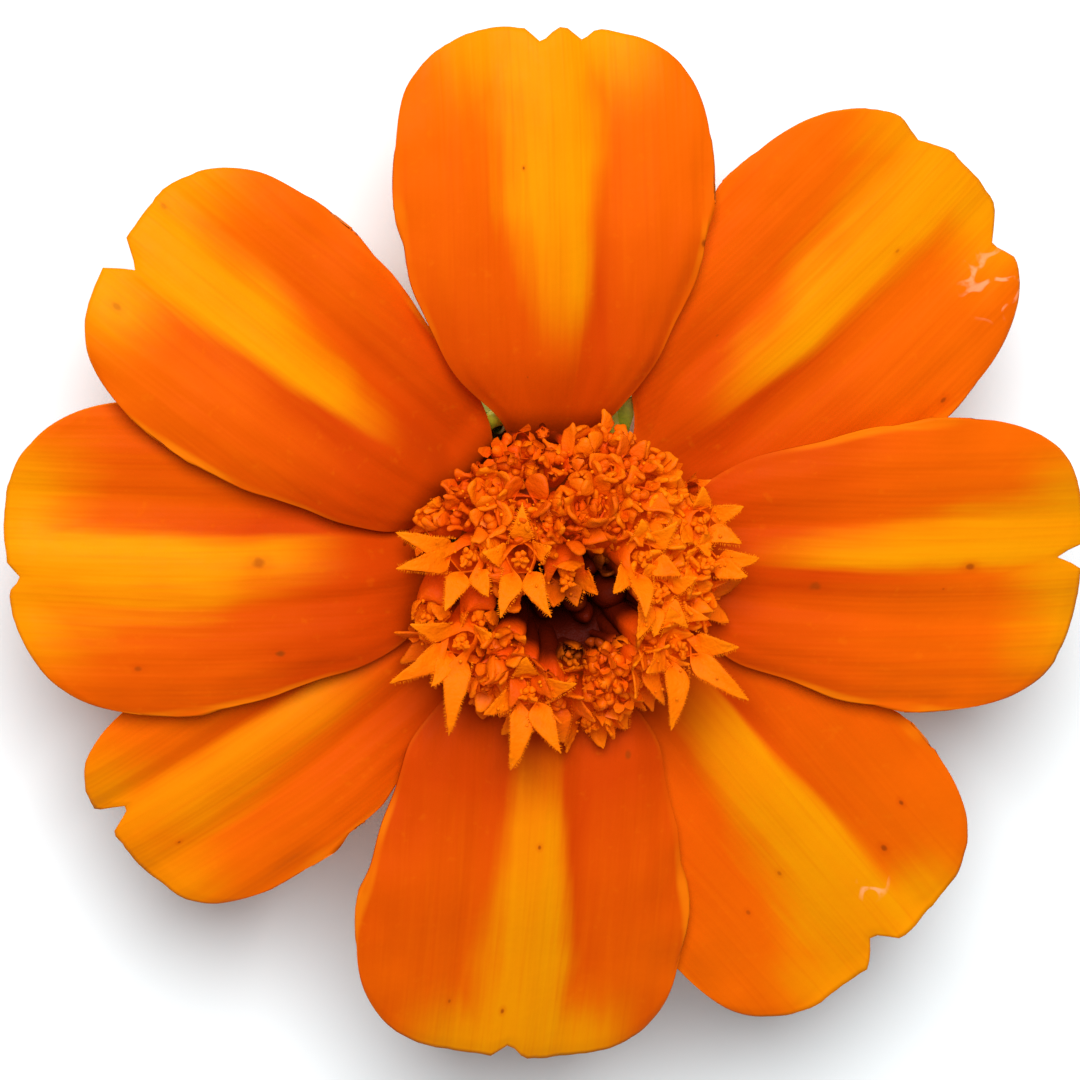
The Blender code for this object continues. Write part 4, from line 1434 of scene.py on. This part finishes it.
class MARIGOLD_OT_knobs(bpy.types.Operator):
    """Makes the small crumpled crowns between the florets and the knobbly heaps by the hollow"""

    bl_idname = "marigold.knobs"
    bl_label = "Crumpled knobs"

    def execute(self, context):
        look = context.scene.marigold_florets
        rng = random.Random(SEED + 5)
        finish = floret_finish("crumpled knob", look, 0.03)
        knobs = bmesh.new()
        add_crowns(knobs, look.knobs, rng)
        for heap in HEAPS:
            add_heap(knobs, heap, rng)
        add_roughness(add_florets("crumpled_knobs", knobs, finish), 0.25 * MM, 0.16 * MM)
        return {"FINISHED"}


class MARIGOLD_OT_stamens(bpy.types.Operator):
    """Makes the anther columns, the curled style arms and the loose pollen"""

    bl_idname = "marigold.stamens"
    bl_label = "Stamens and pollen"

    def execute(self, context):
        look = context.scene.marigold_florets
        rng = random.Random(SEED + 3)
        finish = floret_finish("stamen", look)
        whole = bmesh.new()
        for floret in star_florets():
            gather(whole, stamen_shape(floret, rng))
        piece = add_florets("stamens", whole, finish)
        add_rounding(piece)
        add_roughness(piece, 0.18 * MM, 0.20 * MM)
        florets = star_florets() + spread_florets(look.count, random.Random(SEED + 1))
        add_florets("pollen", pollen_shape(florets, rng), finish)
        return {"FINISHED"}


class MARIGOLD_OT_cup(bpy.types.Operator):
    """Makes the ribbed green cup with its oil glands and the papery scales"""

    bl_idname = "marigold.cup"
    bl_label = "Green cup"

    def execute(self, context):
        look = context.scene.marigold_cup
        scales = scale_shape(random.Random(SEED + 4))
        nodes = ("cup_and_stalk",)
        add_piece("green_cup", scaled(cup_shape(look)), (cup_finish(look),), nodes)
        piece = add_piece("papery_scales", scaled(scales), (scale_finish(look),), nodes)
        add_wall(piece, 0.12 * MM)
        return {"FINISHED"}


# The set: the point that lamp and camera face, the lamp's direction from it, and the camera's
# direction, distance, shift sideways and upwards, and the width that it takes in there.
TARGET = Vector((0, 0, 14.9 * MM))
LAMP_SIDE, LAMP_DISTANCE = Vector((-0.16, 0.61, 1.0)), 0.60
VIEW_SIDE, VIEW_DISTANCE, VIEW_WIDTH = Vector((-0.1823, 0.2702, 0.9455)), 0.300, 0.0502
VIEW_SHIFT = (-0.37 * MM, 0.465 * MM)
SENSOR_WIDTH = 36.0
FLOOR_HALF_SIZE = 2.0


class MARIGOLD_OT_studio(bpy.types.Operator):
    """Sets the pale floor, the soft lights and the camera"""

    bl_idname = "marigold.studio"
    bl_label = "Studio"

    def execute(self, context):
        look, scene = context.scene.marigold_studio, context.scene
        self.add_floor(scene, look)
        self.add_light(scene, look)
        self.add_camera(scene)
        scene.view_settings.view_transform = "Standard"
        return {"FINISHED"}

    @staticmethod
    def add_floor(scene, look):
        shape = bmesh.new()
        bmesh.ops.create_grid(shape, x_segments=8, y_segments=8, size=FLOOR_HALF_SIZE)
        mesh = bpy.data.meshes.new("floor")
        shape.to_mesh(mesh)
        shape.free()
        finish = Finish("plain floor")
        cloud = finish.cloud(finish.place(), 40.0, 0.0)
        paper = finish.blend(look.floor, (0.91, 0.965, 0.98, 1), cloud)
        mesh.materials.append(finish.surface(paper, 0.9, specular_ior_level=0.0))
        floor = bpy.data.objects.new("floor", mesh)
        scene.collection.objects.link(floor)

    @staticmethod
    def add_light(scene, look):
        world = bpy.data.worlds.new("Room")
        scene.world = world
        world.use_nodes = True
        background = world.node_tree.nodes["Background"]
        background.inputs["Color"].default_value = (1.0, 1.0, 1.0, 1.0)
        background.inputs["Strength"].default_value = look.sky
        key = bpy.data.lights.new("Key", "AREA")
        key.shape = "DISK"
        key.size = look.key_size
        key.energy = look.key_power
        lamp = bpy.data.objects.new("Key", key)
        lamp.location = TARGET + LAMP_SIDE.normalized() * LAMP_DISTANCE
        lamp.rotation_euler = (TARGET - lamp.location).to_track_quat("-Z", "Y").to_euler()
        scene.collection.objects.link(lamp)

    @staticmethod
    def add_camera(scene):
        back = VIEW_SIDE.normalized()
        right = Vector((0, 1, 0)).cross(back).normalized()
        up = back.cross(right)
        camera = bpy.data.cameras.new("Camera")
        camera.sensor_width = SENSOR_WIDTH
        camera.lens = SENSOR_WIDTH * VIEW_DISTANCE / VIEW_WIDTH
        camera.clip_start, camera.clip_end = 0.01, 10.0
        eye = bpy.data.objects.new("Camera", camera)
        place = TARGET + back * VIEW_DISTANCE + right * VIEW_SHIFT[0] + up * VIEW_SHIFT[1]
        eye.matrix_world = Matrix.Translation(place) @ Matrix((right, up, back)).transposed().to_4x4()
        scene.collection.objects.link(eye)
        scene.camera = eye


class MARIGOLD_PT_parts(bpy.types.Panel):
    """Lists the pieces of the marigold head"""

    bl_label = "Marigold"
    bl_space_type = "VIEW_3D"
    bl_region_type = "UI"
    bl_category = "Marigold"

    def draw(self, context):
        for step in STEPS:
            self.layout.operator(step.bl_idname)


GROUPS = {"marigold_petals": PetalLook, "marigold_florets": FloretLook,
          "marigold_cup": CupLook, "marigold_studio": StudioLook}
STEPS = (MARIGOLD_OT_studio, MARIGOLD_OT_petals, MARIGOLD_OT_open_florets, MARIGOLD_OT_spread_florets,
         MARIGOLD_OT_buds, MARIGOLD_OT_knobs, MARIGOLD_OT_stamens, MARIGOLD_OT_cup)


def register():
    for kind in (*GROUPS.values(), *STEPS, MARIGOLD_PT_parts):
        bpy.utils.register_class(kind)
    for name, kind in GROUPS.items():
        setattr(bpy.types.Scene, name, bpy.props.PointerProperty(type=kind))


def unregister():
    for name in GROUPS:
        delattr(bpy.types.Scene, name)
    for kind in (MARIGOLD_PT_parts, *reversed(STEPS), *GROUPS.values()):
        bpy.utils.unregister_class(kind)


def main():
    register()
    for step in STEPS:
        family, name = step.bl_idname.split(".")
        getattr(getattr(bpy.ops, family), name)()


if __name__ == "__main__":
    main()
